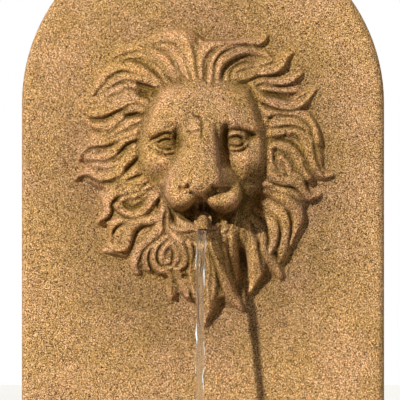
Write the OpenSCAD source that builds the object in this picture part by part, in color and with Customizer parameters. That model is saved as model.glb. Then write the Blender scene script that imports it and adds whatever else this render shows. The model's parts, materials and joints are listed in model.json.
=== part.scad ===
// Lion floor fountain: an arched panel with a lion mask, a half-round basin, a plinth and a pump.
// Millimetres. X to the right, Y to the back, Z up. The origin is on the floor under the middle.

/* [Overall] */
// Height of the arch top above the floor
total_h = 1070; // [1040:10:1200]
// Thickness of the cast shells of the panel and the plinth
wall = 7; // [6:0.5:9]

/* [Basin] */
// Width over the rim
basin_w = 500; // [480:10:540]
// Depth from the front of the rim to the flat back
basin_d = 400; // [390:5:430]
// Height of the rim above the floor
rim_z = 430; // [410:10:470]
// Height from the foot ring to the rim
basin_h = 140; // [130:5:170]
// Radius of the bullnose round the rim
rim_r = 19; // [15:1:22]
// Thickness of the basin's wall and floor
basin_wall = 8; // [7:0.5:10]
// Radius of the bowl's curve between wall and floor
bowl_r = 57; // [45:1:62]
// Height of the foot ring
foot_ring_h = 12; // [10:1:16]
// Width of the foot ring
foot_ring_w = 10; // [8:1:14]
// Thickness of the deck that the panel stands on
deck_t = 10; // [8:1:14]
// Width of the opening down to the pump
hatch_w = 296; // [260:4:300]
// Depth of the opening down to the pump
hatch_d = 64; // [62:1:66]

/* [Well screen] */
// Width of the screened opening
screen_w = 150; // [110:10:180]
// Height of the screened opening
screen_h = 60; // [40:5:70]
// Width of one slot and of one bar
screen_slot = 4; // [3:0.5:6]

/* [Back panel] */
// Width of the arched panel
panel_w = 364; // [350:2:380]
// Depth of the arched panel
panel_d = 90; // [88:1:96]
// Radius of the panel's front edge
edge_r = 9; // [6:1:12]
// Thickness of the panel's base plate
base_t = 8; // [6:1:12]
// Width of the rear flange that the cover is screwed to
flange_w = 20; // [16:1:24]
// Radius of the window behind the mask
window_r = 52; // [45:1:58]

/* [Lion mask] */
// Width over the mane
mask_w = 259; // [240:5:280]
// Height over the mane
mask_h = 298; // [280:5:320]
// Height of the nose above the panel
mask_relief = 88; // [80:2:96]
// Drop from the arch top to the mask's middle
mask_drop = 255; // [235:5:280]
// Height of the seat for the spout inside the mask
seat_d = 30; // [26:1:32]

/* [Spout and hose] */
// Outer diameter of the spout
spout_od = 11; // [9:0.5:13]
// Bore of the spout
spout_bore = 9; // [6:0.5:9]
// Radius of the spout's bend
spout_bend = 13; // [12:0.5:16]
// Angle of the spout's bend
spout_angle = 72; // [60:1:85]
// Wall thickness of the hose
hose_wall = 2; // [1.5:0.25:3]
// Radius of the hose's bend
hose_bend = 40; // [36:1:40]
// Length of hose on a fitting
hose_grip = 17; // [14:1:17]

/* [Rear cover and door] */
// Thickness of the rear cover
cover_t = 6; // [5:0.5:7]
// Width of the door
door_w = 178; // [150:2:190]
// Height of the door
door_h = 168; // [140:2:180]
// Thickness of the door
door_t = 3; // [2:0.5:3]
// Drop from the door's foot to the panel's foot
door_rise = 46; // [42:1:60]
// Diameter of the hinge pin
pin_d = 3; // [2.5:0.25:3.5]

/* [Pump] */
// Width of the pump's body
pump_w = 56; // [52:1:62]
// Depth of the pump's body
pump_d = 36; // [34:0.5:38]
// Height of the pump's body
pump_h = 50; // [48:1:56]
// Height of the suction feet
suction_h = 8; // [6:1:10]
// Depth of the strainer cover
strainer_d = 16; // [14:0.5:18]

/* [Plinth] */
// Width over the base moulding
plinth_base_w = 410; // [396:2:440]
// Width of the plain body
plinth_body_w = 344; // [330:2:350]
// Width over the top moulding
plinth_cap_w = 384; // [378:2:400]
// Height of the base band
base_band = 40; // [32:2:50]
// Height of the top band
cap_band = 22; // [20:1:28]
// Radius of the hollow above the base band
base_cove = 22; // [16:1:24]
// Radius of the hollow under the top band
cap_cove = 14; // [10:1:16]
// Height of the rubber feet
foot_h = 12; // [8:1:18]

/* [Fasteners and drain] */
// Diameter of the bolts
bolt_d = 8; // [6:1:8]
// Diameter of the cover's screws
screw_d = 4; // [3:0.5:5]
// Diameter of the drain plug
drain_d = 24; // [18:1:28]
// Diameter of the pump's cord that the grommet is made for
cord_d = 8; // [6:0.5:9]

/* [Fits] */
// Radial clearance of turning and threaded parts
run_gap = 0.05; // [0.03:0.01:0.08]
// Gap between faces that slide past each other
face_gap = 0.3; // [0.2:0.05:0.5]
// Gap round the door and the rear cover
lid_gap = 1; // [0.8:0.1:1.5]
// Radial clearance of a bolt in its hole
bolt_gap = 0.4; // [0.2:0.1:0.8]

/* [Hidden] */
$fn = 96;
SAND = [0.72, 0.55, 0.33];
STEEL = [0.75, 0.75, 0.76];
BLACK = [0.13, 0.13, 0.14];

// Planes and centres shared by the parts
back_y = basin_d / 2;
rim_R = basin_w / 2;
bowl_y = rim_R - basin_d / 2;
hardware_room = 10;
panel_back_y = back_y - hardware_room;
panel_y = panel_back_y - panel_d;
panel_R = panel_w / 2;
spring_z = total_h - panel_R;
cover_y = panel_back_y - cover_t;
hatch_y = (panel_y + cover_y) / 2;

// Basin
body_R = rim_R - rim_r;
seat_z = rim_z - basin_h;
under_z = seat_z + foot_ring_h;
floor_z = under_z + basin_wall;
seat_R = body_R - bowl_r - 4;
dam_y = panel_y - 10;
dam_t = basin_wall;
rim_round = 4;
screen_z = floor_z + 8;
screen_flange = 8;
screen_t = 3;

// Plinth
plinth_z = foot_h;
plinth_top_t = 8;
plinth_lip_t = 8;
plinth_lip_w = 46;
base_R = plinth_base_w / 2;
pier_R = plinth_body_w / 2;
cap_R = plinth_cap_w / 2;
well_R = 95;
well_back = 80;

// Bolts between basin and plinth, and between panel and basin
tie_back = [120, 50];
tie_front = [85, 75];
tie_at = [[-tie_back.x, back_y - tie_back.y], [tie_back.x, back_y - tie_back.y],
    [-tie_front.x, bowl_y - tie_front.y], [tie_front.x, bowl_y - tie_front.y]];
tie_boss_r = bolt_d / 2 + 10;
foot_web_t = 8;
tie_depth = foot_ring_h - 2;
washer_t = 1.6;
washer_r = bolt_d / 2 + 4.5;
head_h = 5;
head_r = bolt_d * 0.84;
nut_h = 6.5;
bolt_x = (hatch_w / 2 + panel_R - wall) / 2;
bolt_at = [for (x = [-bolt_x, bolt_x], y = [hatch_y - 20, hatch_y + 20]) [x, y]];

// Drain
drain_at = [75, bowl_y - 40];
drain_flange_r = drain_d / 2 + 10;
drain_shank_r = drain_d / 2 + 4;
drain_flange_t = 2.5;
drain_gasket_t = 2;
drain_nut_h = 6;

// Mask
mask_z = total_h - mask_drop;
su = mask_w / 259;
sv = mask_h / 298;
sd = mask_relief / 88;
mouth_v = -44 * sv;
mouth_z = mask_z + mouth_v;
mouth_d = 45 * sd;
mask_edge = 2;
mask_segs = 120;
outer_rings = 30;
inner_rings = 4;
hollow_reach = 0.8;
seat_reach = 0.2;

// Spout and hose
spout_r = spout_od / 2;
hose_r = spout_r + run_gap;
hose_R = hose_r + hose_wall;
collar_t = 2.5;
collar_r = spout_r + 3;
spout_washer_t = 1.5;
spout_nut_h = 6;
seat_y = panel_y - seat_d;
lip_y = panel_y - mouth_d;
bend_y = lip_y - 15;
hose_front_y = seat_y + spout_washer_t + spout_nut_h + 2.5;
clamp_t = 0.9;
clamp_w = 8;

// Pump, its front face and its axis
pump_y = hatch_y - (strainer_d + pump_d + 4) / 2 + strainer_d + 4;
pump_z = floor_z + suction_h;
axis_z = pump_z + pump_h / 2;
chamber_r = 18;
chamber_d = 10;
rotor_r = 8;
rotor_well_r = rotor_r + 0.6;
rotor_end_y = pump_y + pump_d - 4.5;
shaft_r = 1.5;
hub_r = 4;
disc_r = 16;
outlet_y = pump_y + chamber_d / 2 + 1;
outlet_r = 6;
outlet_bore = 4;
boss_h = 6;
boss_top_z = pump_z + pump_h + boss_h;
nozzle_flange_t = 2;
hose_foot_z = boss_top_z + nozzle_flange_t + 1;
hose_top_z = mouth_z - hose_bend;
gland_at = [18, pump_y + pump_d - 8];

// Rear cover, its door and hinge
cover_lip = 4;
cover_r = panel_R - cover_lip - lid_gap;
flange_t = 6;
flange_r = panel_R - cover_lip - flange_w;
door_z = rim_z + door_rise;
door_mid_z = door_z + door_h / 2;
ledge = 6;
hinge_x = -door_w / 2 - 5;
hinge_y = panel_back_y + 4;
knuckle_r = 3.6;
knuckles = 5;
hinge_l = 120;
knuckle_l = hinge_l / knuckles;
latch_x = door_w / 2 - 14;
latch_r = 3;
cam_t = 2.5;
cam_y = cover_y - face_gap - cam_t;
screw_r = screw_d / 2;
screw_ring = panel_R - cover_lip - flange_w / 2;
screw_rise = 60;
screw_at = concat([for (a = [15:30:165]) [screw_ring * cos(a), spring_z + screw_ring * sin(a)]],
    [for (x = [-screw_ring, screw_ring], i = [0:2])
        [x, rim_z + screw_rise + i * (spring_z - rim_z - 2 * screw_rise) / 2]]);
grommet_at = [130, rim_z + cover_lip + 34];
grommet_r = cord_d / 2 + 5;

// Points along an arc
function arc(cx, cy, r, from, to, n = 8) =
    [for (i = [0:n]) let(a = from + (to - from) * i / n) [cx + r * cos(a), cy + r * sin(a)]];

// A form that is half round in front and flat at the back, from its section to the middle
module d_form(section, back) {
    translate([0, bowl_y, 0]) rotate([0, 0, 180]) rotate_extrude(angle = 180) polygon(section);
    translate([0, back, 0]) rotate([90, 0, 0]) linear_extrude(back - bowl_y) {
        polygon(section);
        mirror([1, 0]) polygon(section);
    }
}

// An upright form with an arched top, from its section seen from above
module arch_form(section, foot) {
    translate([0, 0, spring_z]) rotate([90, 0, 0]) rotate_extrude(angle = 180)
        polygon([for (p = section) [p.x, -p.y]]);
    translate([0, 0, foot]) linear_extrude(spring_z - foot) {
        polygon(section);
        mirror([1, 0]) polygon(section);
    }
}

// A plain arched slab between two depths
module arch_slab(r, y0, y1, foot) {
    arch_form([[0, y0], [r, y0], [r, y1], [0, y1]], foot);
}

// A round bar along Y
module rod_y(r, y0, y1) {
    translate([0, y1, 0]) rotate([90, 0, 0]) cylinder(r = r, h = y1 - y0);
}

module ring(r_out, r_in, h) {
    difference() {
        cylinder(r = r_out, h = h);
        translate([0, 0, -1]) cylinder(r = r_in, h = h + 2);
    }
}

module hex_nut(r_in, r_out, h) {
    difference() {
        cylinder(r = r_out, h = h, $fn = 6);
        translate([0, 0, -1]) cylinder(r = r_in, h = h + 2);
    }
}

module hex_bolt(r, length) {
    cylinder(r = r, h = length);
    translate([0, 0, length]) cylinder(r = head_r, h = head_h, $fn = 6);
}

// Plinth
function plinth_outside() = concat(
    [[0, plinth_z], [base_R, plinth_z], [base_R, plinth_z + base_band]],
    arc(pier_R + base_cove, plinth_z + base_band + base_cove, base_cove, 270, 180),
    arc(pier_R + cap_cove, seat_z - cap_band - cap_cove, cap_cove, 180, 90),
    [[cap_R, seat_z - cap_band], [cap_R, seat_z], [0, seat_z]]);

function plinth_inside() = concat(
    [[0, plinth_z + plinth_lip_t], [base_R - wall, plinth_z + plinth_lip_t],
        [base_R - wall, plinth_z + base_band - wall]],
    arc(pier_R + base_cove, plinth_z + base_band + base_cove, base_cove + wall, 270, 180),
    arc(pier_R + cap_cove, seat_z - cap_band - cap_cove, cap_cove + wall, 180, 90),
    [[cap_R - wall, seat_z - cap_band + wall], [cap_R - wall, seat_z - plinth_top_t],
        [0, seat_z - plinth_top_t]]);

foot_ring_at = base_R - wall - 17;
foot_at = concat([for (a = [-35, 0, 35]) [foot_ring_at * sin(a), bowl_y - foot_ring_at * cos(a)]],
    [for (x = [-foot_ring_at, foot_ring_at]) [x, back_y - wall - 17]]);
foot_r = 15;
foot_stem_r = 4;

module rubber_feet() {
    color(BLACK) for (p = foot_at) translate([p.x, p.y, 0]) {
        cylinder(r1 = foot_r - 1.5, r2 = foot_r, h = foot_h);
        cylinder(r = foot_stem_r, h = foot_h + plinth_lip_t + 2);
    }
}

module plinth() {
    open_R = base_R - plinth_lip_w;
    color(SAND) difference() {
        d_form(plinth_outside(), back_y);
        d_form(plinth_inside(), back_y - wall);
        d_form([[0, plinth_z - 1], [open_R, plinth_z - 1], [open_R, plinth_z + plinth_lip_t + 1],
            [0, plinth_z + plinth_lip_t + 1]], back_y - plinth_lip_w);
        d_form([[0, seat_z - plinth_top_t - 1], [well_R, seat_z - plinth_top_t - 1],
            [well_R, seat_z + 1], [0, seat_z + 1]], back_y - well_back);
        for (p = foot_at) translate([p.x, p.y, plinth_z - 1])
            cylinder(r = foot_stem_r + run_gap, h = plinth_lip_t + 2);
        for (p = tie_at) translate([p.x, p.y, seat_z - plinth_top_t - 1])
            cylinder(r = bolt_d / 2 + bolt_gap, h = plinth_top_t + 2);
    }
}

module plinth_bolts() {
    length = washer_t + plinth_top_t + tie_depth - 1;
    color(STEEL) for (p = tie_at) translate([p.x, p.y, seat_z + tie_depth - 1]) mirror([0, 0, 1])
        hex_bolt(bolt_d / 2, length);
}

module plinth_washers() {
    color(STEEL) for (p = tie_at) translate([p.x, p.y, seat_z - plinth_top_t - washer_t])
        ring(washer_r, bolt_d / 2 + bolt_gap, washer_t);
}

// Basin
function basin_outside() = concat(
    [[0, under_z]],
    arc(body_R - bowl_r, under_z + bowl_r, bowl_r, 270, 360),
    arc(body_R, rim_z - rim_r, rim_r, -90, 90, 12),
    [[0, rim_z]]);

function basin_inside() = concat(
    [[0, floor_z]],
    arc(body_R - bowl_r, under_z + bowl_r, bowl_r - basin_wall, 270, 360),
    arc(body_R - basin_wall + rim_round, rim_z - rim_round, rim_round, 180, 90, 4),
    [[body_R - basin_wall + rim_round, rim_z + 1], [0, rim_z + 1]]);

module basin() {
    color(SAND) difference() {
        d_form(basin_outside(), back_y);
        d_form(basin_inside(), back_y - basin_wall);
        translate([drain_at.x, drain_at.y, under_z - 1])
            cylinder(r = drain_shank_r + bolt_gap, h = basin_wall + 2);
    }
}

// Foot ring bonded under the basin, with a boss for each tie on a web from the ring
module foot_blank() {
    d_form([[0, seat_z], [seat_R, seat_z], [seat_R, under_z], [0, under_z]], back_y);
}

module basin_foot() {
    color(SAND) difference() {
        union() {
            difference() {
                foot_blank();
                d_form([[0, seat_z - 1], [seat_R - foot_ring_w, seat_z - 1],
                    [seat_R - foot_ring_w, under_z + 1], [0, under_z + 1]], back_y - foot_ring_w);
            }
            intersection() {
                foot_blank();
                for (p = tie_at)
                    translate([p.x - foot_web_t / 2, p.y > bowl_y ? p.y : p.y - seat_R, seat_z])
                        cube([foot_web_t, seat_R, foot_ring_h]);
            }
            for (p = tie_at) translate([p.x, p.y, seat_z])
                cylinder(r = tie_boss_r, h = foot_ring_h);
        }
        for (p = tie_at) translate([p.x, p.y, seat_z - 1])
            cylinder(r = bolt_d / 2 + run_gap, h = tie_depth + 1);
    }
}

// Deck over the pump well, with the wall that parts the well from the pool
function deck_outside() = concat(
    [[0, floor_z], [body_R - bowl_r, floor_z]],
    arc(body_R - bowl_r, under_z + bowl_r, bowl_r - basin_wall - face_gap, 272, 360),
    [[body_R - basin_wall - face_gap, rim_z], [0, rim_z]]);

module pump_deck() {
    color(SAND) difference() {
        intersection() {
            d_form(deck_outside(), back_y - basin_wall - face_gap);
            union() {
                translate([-rim_R, dam_y, floor_z]) cube([basin_w, dam_t, rim_z - floor_z]);
                translate([-rim_R, dam_y, rim_z - deck_t])
                    cube([basin_w, back_y - dam_y, deck_t]);
            }
        }
        translate([-hatch_w / 2, hatch_y - hatch_d / 2, rim_z - deck_t - 1])
            cube([hatch_w, hatch_d, deck_t + 2]);
        translate([-screen_w / 2, dam_y - 1, screen_z]) cube([screen_w, dam_t + 2, screen_h]);
        for (p = bolt_at) translate([p.x, p.y, rim_z - deck_t - 1])
            cylinder(r = bolt_d / 2 + bolt_gap, h = deck_t + 2);
    }
}

module well_screen() {
    pitch = 2 * screen_slot;
    slots = floor((screen_w - 3 * screen_slot) / pitch);
    color([0.24, 0.22, 0.19]) difference() {
        union() {
            translate([-screen_w / 2 - screen_flange, dam_y - screen_t, screen_z - screen_flange + 1])
                cube([screen_w + 2 * screen_flange, screen_t, screen_h + 2 * screen_flange - 2]);
            translate([-screen_w / 2 + face_gap, dam_y - 1, screen_z + face_gap])
                cube([screen_w - 2 * face_gap, dam_t + 1, screen_h - 2 * face_gap]);
        }
        translate([-screen_w / 2 + 3, dam_y, screen_z + 3])
            cube([screen_w - 6, dam_t + 1, screen_h - 6]);
        for (i = [0:slots - 1])
            translate([(i - (slots - 1) / 2) * pitch - screen_slot / 2, dam_y - screen_t - 1,
                screen_z + 6])
                cube([screen_slot, screen_t + 2, screen_h - 12]);
    }
}

module at_drain(z) {
    translate([drain_at.x, drain_at.y, z]) children();
}

module drain_body() {
    color(BLACK) at_drain(0) difference() {
        union() {
            translate([0, 0, seat_z + 1]) cylinder(r = drain_shank_r, h = floor_z - seat_z);
            translate([0, 0, floor_z]) cylinder(r = drain_flange_r, h = drain_flange_t);
        }
        cylinder(r = drain_d / 2 + run_gap, h = rim_z);
    }
}

module drain_gasket() {
    color([0.3, 0.1, 0.08]) at_drain(under_z - drain_gasket_t)
        ring(drain_flange_r, drain_shank_r + run_gap, drain_gasket_t);
}

module drain_nut() {
    color(BLACK) at_drain(under_z - drain_gasket_t - drain_nut_h)
        hex_nut(drain_shank_r + run_gap, drain_flange_r + 2, drain_nut_h);
}

module drain_plug() {
    color([0.2, 0.2, 0.21]) at_drain(floor_z + drain_flange_t) {
        translate([0, 0, -drain_flange_t - basin_wall])
            cylinder(r = drain_d / 2, h = drain_flange_t + basin_wall);
        cylinder(r = drain_d / 2 + 4, h = 4);
        translate([0, 0, 4]) cylinder(r = 4, h = 8);
        translate([0, 0, 12]) cylinder(r1 = 7, r2 = 8, h = 5);
    }
}

// Back panel
module back_panel() {
    outside = concat([[0, panel_y]], arc(panel_R - edge_r, panel_y + edge_r, edge_r, -90, 0),
        [[panel_R, panel_back_y], [0, panel_back_y]]);
    open_z = rim_z + cover_lip + flange_w;
    color(SAND) difference() {
        arch_form(outside, rim_z);
        arch_slab(panel_R - wall, panel_y + wall, cover_y - flange_t, rim_z + base_t);
        arch_slab(flange_r, cover_y - flange_t - 1, cover_y + 1, open_z);
        arch_slab(panel_R - cover_lip, cover_y, panel_back_y + 1, rim_z + cover_lip);
        translate([-hatch_w / 2, hatch_y - hatch_d / 2, rim_z - 1])
            cube([hatch_w, hatch_d, base_t + 2]);
        translate([0, 0, mouth_z]) rod_y(window_r, panel_y - 1, panel_y + wall + 1);
        for (p = bolt_at) translate([p.x, p.y, rim_z - 1])
            cylinder(r = bolt_d / 2 + bolt_gap, h = base_t + 2);
        for (p = screw_at) translate([p.x, 0, p.y])
            rod_y(screw_r + run_gap, cover_y - flange_t - 1, cover_y + 1);
    }
}

module panel_bolts() {
    length = nut_h + deck_t + base_t + washer_t + washer_t + 2;
    color(STEEL) for (p = bolt_at) translate([p.x, p.y, rim_z + base_t + washer_t - length])
        hex_bolt(bolt_d / 2, length);
}

module panel_washers() {
    color(STEEL) for (p = bolt_at, z = [rim_z + base_t, rim_z - deck_t - washer_t])
        translate([p.x, p.y, z]) ring(washer_r, bolt_d / 2 + bolt_gap, washer_t);
}

module panel_nuts() {
    color(STEEL) for (p = bolt_at) translate([p.x, p.y, rim_z - deck_t - washer_t - nut_h])
        hex_nut(bolt_d / 2 + run_gap, head_r, nut_h);
}

// Lion mask. u runs to the right and v runs up from its middle, and heights are above the panel.

// Outline of the mane, from tip to hollow to tip, anticlockwise from the right
MANE = [[100, -31], [117, -19], [111, -9], [129, 0], [119, 12], [118, 32], [117, 50], [106, 63],
    [113, 86], [96, 85], [98, 104], [90, 106], [97, 126], [77, 123], [69, 126], [64, 140],
    [45, 143], [20, 144], [2, 141], [-6, 140], [-28, 149], [-50, 146], [-70, 140], [-90, 124],
    [-92, 110], [-108, 86], [-108, 78], [-124, 70], [-122, 53], [-106, 36], [-123, 18],
    [-112, 10], [-129, -5], [-106, -14], [-107, -46], [-93, -50], [-99, -73], [-79, -80],
    [-66, -99], [-57, -94], [-47, -101], [-36, -99], [-31, -121], [-18, -108], [-7, -122],
    [2, -149], [15, -126], [39, -133], [37, -112], [47, -118], [57, -98], [75, -104],
    [86, -80], [100, -56]];

// Locks of the mane: half width, height, then the points of the crest from root to tip
LOCKS = [
    [9, 12, [[-8, 96], [-12, 122], [-28, 140], [-60, 136], [-88, 124]]],
    [8, 10, [[-32, 98], [-38, 120], [-58, 128], [-92, 122]]],
    [9, 11, [[-45, 99], [-68, 107], [-90, 108], [-103, 90]]],
    [8, 9, [[-56, 82], [-75, 90], [-104, 80]]],
    [9, 12, [[-63, 64], [-85, 69], [-106, 63], [-122, 70]]],
    [7, 8, [[-66, 55], [-90, 50], [-116, 53]]],
    [8, 12, [[-68, 43], [-90, 34], [-112, 29], [-122, 18]]],
    [6, 8, [[-72, 33], [-92, 23], [-114, 19]]],
    [9, 13, [[-68, 20], [-84, 6], [-103, -1], [-127, -4]]],
    [10, 13, [[-60, -1], [-84, -12], [-96, -24], [-105, -45]]],
    [9, 12, [[-48, -21], [-62, -35], [-78, -36], [-90, -28]]],
    [9, 13, [[-43, -42], [-66, -48], [-77, -68], [-97, -73]]],
    [6, 8, [[-76, -46], [-88, -49], [-98, -62]]],
    [9, 12, [[-41, -42], [-48, -60], [-65, -78], [-65, -97]]],
    [8, 10, [[-51, -70], [-54, -86], [-48, -98]]],
    [8, 10, [[-36, -72], [-38, -88], [-32, -98]]],
    [9, 11, [[-28, -60], [-18, -80], [-24, -98], [-31, -119]]],
    [9, 12, [[0, 100], [1, 124], [20, 136], [60, 138]]],
    [8, 10, [[14, 98], [22, 120], [56, 130]]],
    [9, 11, [[32, 98], [60, 107], [80, 114], [96, 126]]],
    [8, 9, [[47, 92], [75, 94], [97, 103]]],
    [9, 12, [[54, 80], [78, 68], [98, 70], [112, 85]]],
    [10, 13, [[67, 56], [90, 63], [110, 50], [113, 30], [118, 6]]],
    [9, 12, [[66, 44], [94, 38], [106, 20], [128, 0]]],
    [9, 11, [[67, 8], [80, -8], [100, -12], [116, -19]]],
    [10, 13, [[72, -14], [94, -30], [94, -54], [76, -102]]],
    [8, 9, [[78, -36], [85, -54], [80, -72]]],
    [8, 9, [[60, -58], [76, -60], [70, -76]]],
    [8, 10, [[54, -70], [60, -86], [66, -98]]],
    [9, 12, [[42, -50], [44, -78], [47, -116]]],
    [8, 11, [[22, -72], [26, -102], [38, -131]]],
    [9, 11, [[4, -78], [8, -110], [2, -146]]],
    [8, 9, [[-12, -72], [-10, -96], [-8, -118]]]];

LOCK_BOXES = [for (k = LOCKS) let(xs = [for (p = k[2]) p.x], ys = [for (p = k[2]) p.y])
    [min(xs) - k[0], max(xs) + k[0], min(ys) - k[0], max(ys) + k[0]]];

// Share from 0 to 1 along a piece of crest, and the distance to it
function seg_near(p, a, b) = let(d = b - a, t = max(0, min(1, ((p - a) * d) / (d * d)))) norm(p - a - t * d);

function crest_near(p, pts) = min([for (i = [0:len(pts) - 2]) seg_near(p, pts[i], pts[i + 1])]);

function lock_rise(p, k) = let(s = crest_near(p, k[2]) / k[0]) s < 1 ? k[1] * sqrt(1 - s * s) : 0;

function locks(p) = max([0, for (i = [0:len(LOCKS) - 1]) let(b = LOCK_BOXES[i])
    if (p.x > b[0] && p.x < b[1] && p.y > b[2] && p.y < b[3]) lock_rise(p, LOCKS[i])]);

function bump(p, cu, cv, ru, rv, h) = h * exp(-pow((p.x - cu) / ru, 2) - pow((p.y - cv) / rv, 2));

function ease(t) = let(s = max(0, min(1, t))) s * s * (3 - 2 * s);

// Both eyes or both cheeks at once
function pair(p, cu, cv, ru, rv, h) = bump([abs(p.x), p.y], cu, cv, ru, rv, h);

// How far out a point is from the middle of the face, 1 at the hairline
function face_reach(p) = norm([p.x / 66, (p.y - 18) / (p.y > 18 ? 76 : 88)]);

FACE_RISE = [[-100, 30], [-72, 40], [-50, 46], [-30, 48], [0, 50], [26, 50], [50, 53], [70, 50],
    [96, 38]];
NOSE_RISE = [[-28, 0], [-20, 24], [-10, 36], [0, 30], [14, 20], [30, 11], [48, 0]];
NOSE_WIDTH = [[-20, 21], [0, 20], [26, 15], [48, 18]];

function face(p) =
    lookup(p.y, FACE_RISE) * (1 - 0.42 * pow(face_reach(p), 2.2))
    + lookup(p.y, NOSE_RISE) * exp(-pow(p.x / lookup(p.y, NOSE_WIDTH), 4))
    + pair(p, 30, 46, 22, 9, 6) - pair(p, 34, 30, 15, 10, 8) + pair(p, 34, 33, 7, 5, 5)
    + pair(p, 44, 10, 15, 12, 5) + pair(p, 19, -16, 20, 17, 26) - bump(p, 0, -44, 34, 8, 14)
    + bump(p, 0, -60, 22, 10, 14);

// The mane rises behind the face, then falls to the outline. t is 0 at the mouth, 1 at the outline.
function mane(p, t) = 30 * (1 - ease((t - 0.3) / 0.75)) + locks(p) * ease((1.04 - t) / 0.4) + 4;

function relief(p, t) = let(f = ease((1.12 - face_reach(p)) / 0.24))
    max(mask_edge, f * face(p) + (1 - f) * mane(p, t));

// The outline as reach against angle about the mouth, closed past a full turn
OUTLINE = let(m = [0, -44], polar = [for (p = MANE) let(a = atan2(p.y - m.y, p.x - m.x))
    [a < 0 ? a + 360 : a, norm(p - m)]], last = polar[len(polar) - 1])
    concat([[last[0] - 360, last[1]]], polar, [[polar[0][0] + 360, polar[0][1]]]);

// Rounded reach of the rings inside the outline, against angle
ROUND_REACH = [[0, 106], [30, 130], [60, 168], [90, 186], [120, 178], [150, 134], [180, 106], [210, 90],
    [240, 72], [270, 84], [300, 80], [330, 92], [360, 106]];

hole_r = spout_r + 1;
boss_R = collar_r + 4;

// A point of the mask's skin: a share t of the way from the hole out to the outline, real size
function mask_point(t, a, inside) = let(
    dir = [cos(a), sin(a)], out = ease((t - 0.7) / 0.3),
    edge = out * lookup(a, OUTLINE) + (1 - out) * lookup(a, ROUND_REACH),
    near = hole_r * dir, place = near + t * ([edge * dir.x * su, edge * dir.y * sv] - near),
    p = [place.x / su, place.y / sv - 44], flat = ease((norm(place) - boss_R) / 12),
    high = inside
        ? seat_d * (1 - pow(max(0, t - seat_reach) / (hollow_reach - seat_reach), 2))
        : (1 - flat) * mouth_d + flat * max(relief(p, t), mask_edge) * sd)
    [place.x, panel_y - (t >= 1 ? mask_edge : high), mouth_z + place.y];

outer_t = [for (i = [0:outer_rings]) i / outer_rings];
inner_t = [for (i = [inner_rings:-1:0]) hollow_reach * i / inner_rings];

module lion_mask() {
    angles = [for (j = [0:mask_segs - 1]) 360 * j / mask_segs];
    skirt = [for (a = angles) let(p = mask_point(1, a, false)) [p.x, panel_y, p.z]];
    rings = concat([skirt], [for (t = inner_t) [for (a = angles) mask_point(t, a, true)]],
        [for (t = outer_t) [for (a = angles) mask_point(t, a, false)]]);
    n = len(rings);
    faces = [for (i = [0:n - 1], j = [0:mask_segs - 1]) let(
        a = i * mask_segs + j, b = i * mask_segs + (j + 1) % mask_segs,
        c = ((i + 1) % n) * mask_segs + (j + 1) % mask_segs, d = ((i + 1) % n) * mask_segs + j)
        each [[a, b, c], [a, c, d]]];
    color(SAND) polyhedron([for (r = rings) each r], faces);
}

// Spout and hose
// A quarter or less of a bent pipe about the X axis, from straight up towards the back
module bent_pipe(r_out, r_in, bend, angle) {
    rotate([0, -90, 0]) rotate_extrude(angle = angle) translate([bend, 0]) difference() {
        circle(r = r_out);
        circle(r = r_in);
    }
}

module pipe_y(r_out, r_in, y0, y1) {
    translate([0, y1, 0]) rotate([90, 0, 0]) ring(r_out, r_in, y1 - y0);
}

module mouth_spout() {
    bore = spout_bore / 2;
    color([0.62, 0.5, 0.34]) translate([0, 0, mouth_z]) {
        pipe_y(spout_r, bore, bend_y, hose_front_y + hose_grip);
        pipe_y(collar_r, spout_r - 0.5, lip_y - collar_t, lip_y);
        translate([0, bend_y, -spout_bend]) rotate([0, 0, 180])
            bent_pipe(spout_r, bore, spout_bend, spout_angle);
    }
}

module spout_washer() {
    color(BLACK) translate([0, seat_y + spout_washer_t, mouth_z]) rotate([90, 0, 0])
        ring(boss_R - 1, spout_r + run_gap, spout_washer_t);
}

module spout_nut() {
    color([0.8, 0.66, 0.35]) translate([0, seat_y + spout_washer_t + spout_nut_h, mouth_z])
        rotate([90, 0, 0]) hex_nut(spout_r + run_gap, spout_r + 5, spout_nut_h);
}

module feed_hose() {
    color([0.85, 0.88, 0.88]) {
        translate([0, outlet_y, hose_foot_z]) ring(hose_R, hose_r, hose_top_z - hose_foot_z);
        translate([0, outlet_y - hose_bend, hose_top_z]) bent_pipe(hose_R, hose_r, hose_bend, 90);
        translate([0, 0, mouth_z]) pipe_y(hose_R, hose_r, hose_front_y, outlet_y - hose_bend);
    }
}

// A band round the hose, its axis up, with the housing and screw at its side
module hose_clamp() {
    r = hose_R + run_gap;
    ring(r + clamp_t, r, clamp_w);
    translate([r + clamp_t / 2, -5, 0]) cube([6, 10, clamp_w]);
    translate([r + 3.5, -9, clamp_w / 2]) rotate([-90, 0, 0]) cylinder(r = 3, h = 5);
}

module hose_clamps() {
    color(STEEL) {
        translate([0, outlet_y, hose_foot_z + 4]) hose_clamp();
        translate([0, hose_front_y + 4, mouth_z]) rotate([-90, 0, 0]) hose_clamp();
    }
}

// Rear cover and door
module knuckle_run(first, gap) {
    for (i = [first:2:knuckles - 1])
        translate([hinge_x, hinge_y, door_mid_z - hinge_l / 2 + i * knuckle_l + gap])
            cylinder(r = knuckle_r, h = knuckle_l - 2 * gap);
}

module knuckle_webs(first, gap, from_x, to_x, from_y, to_y) {
    for (i = [first:2:knuckles - 1])
        translate([from_x, from_y, door_mid_z - hinge_l / 2 + i * knuckle_l + gap])
            cube([to_x - from_x, to_y - from_y, knuckle_l - 2 * gap]);
}

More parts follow.
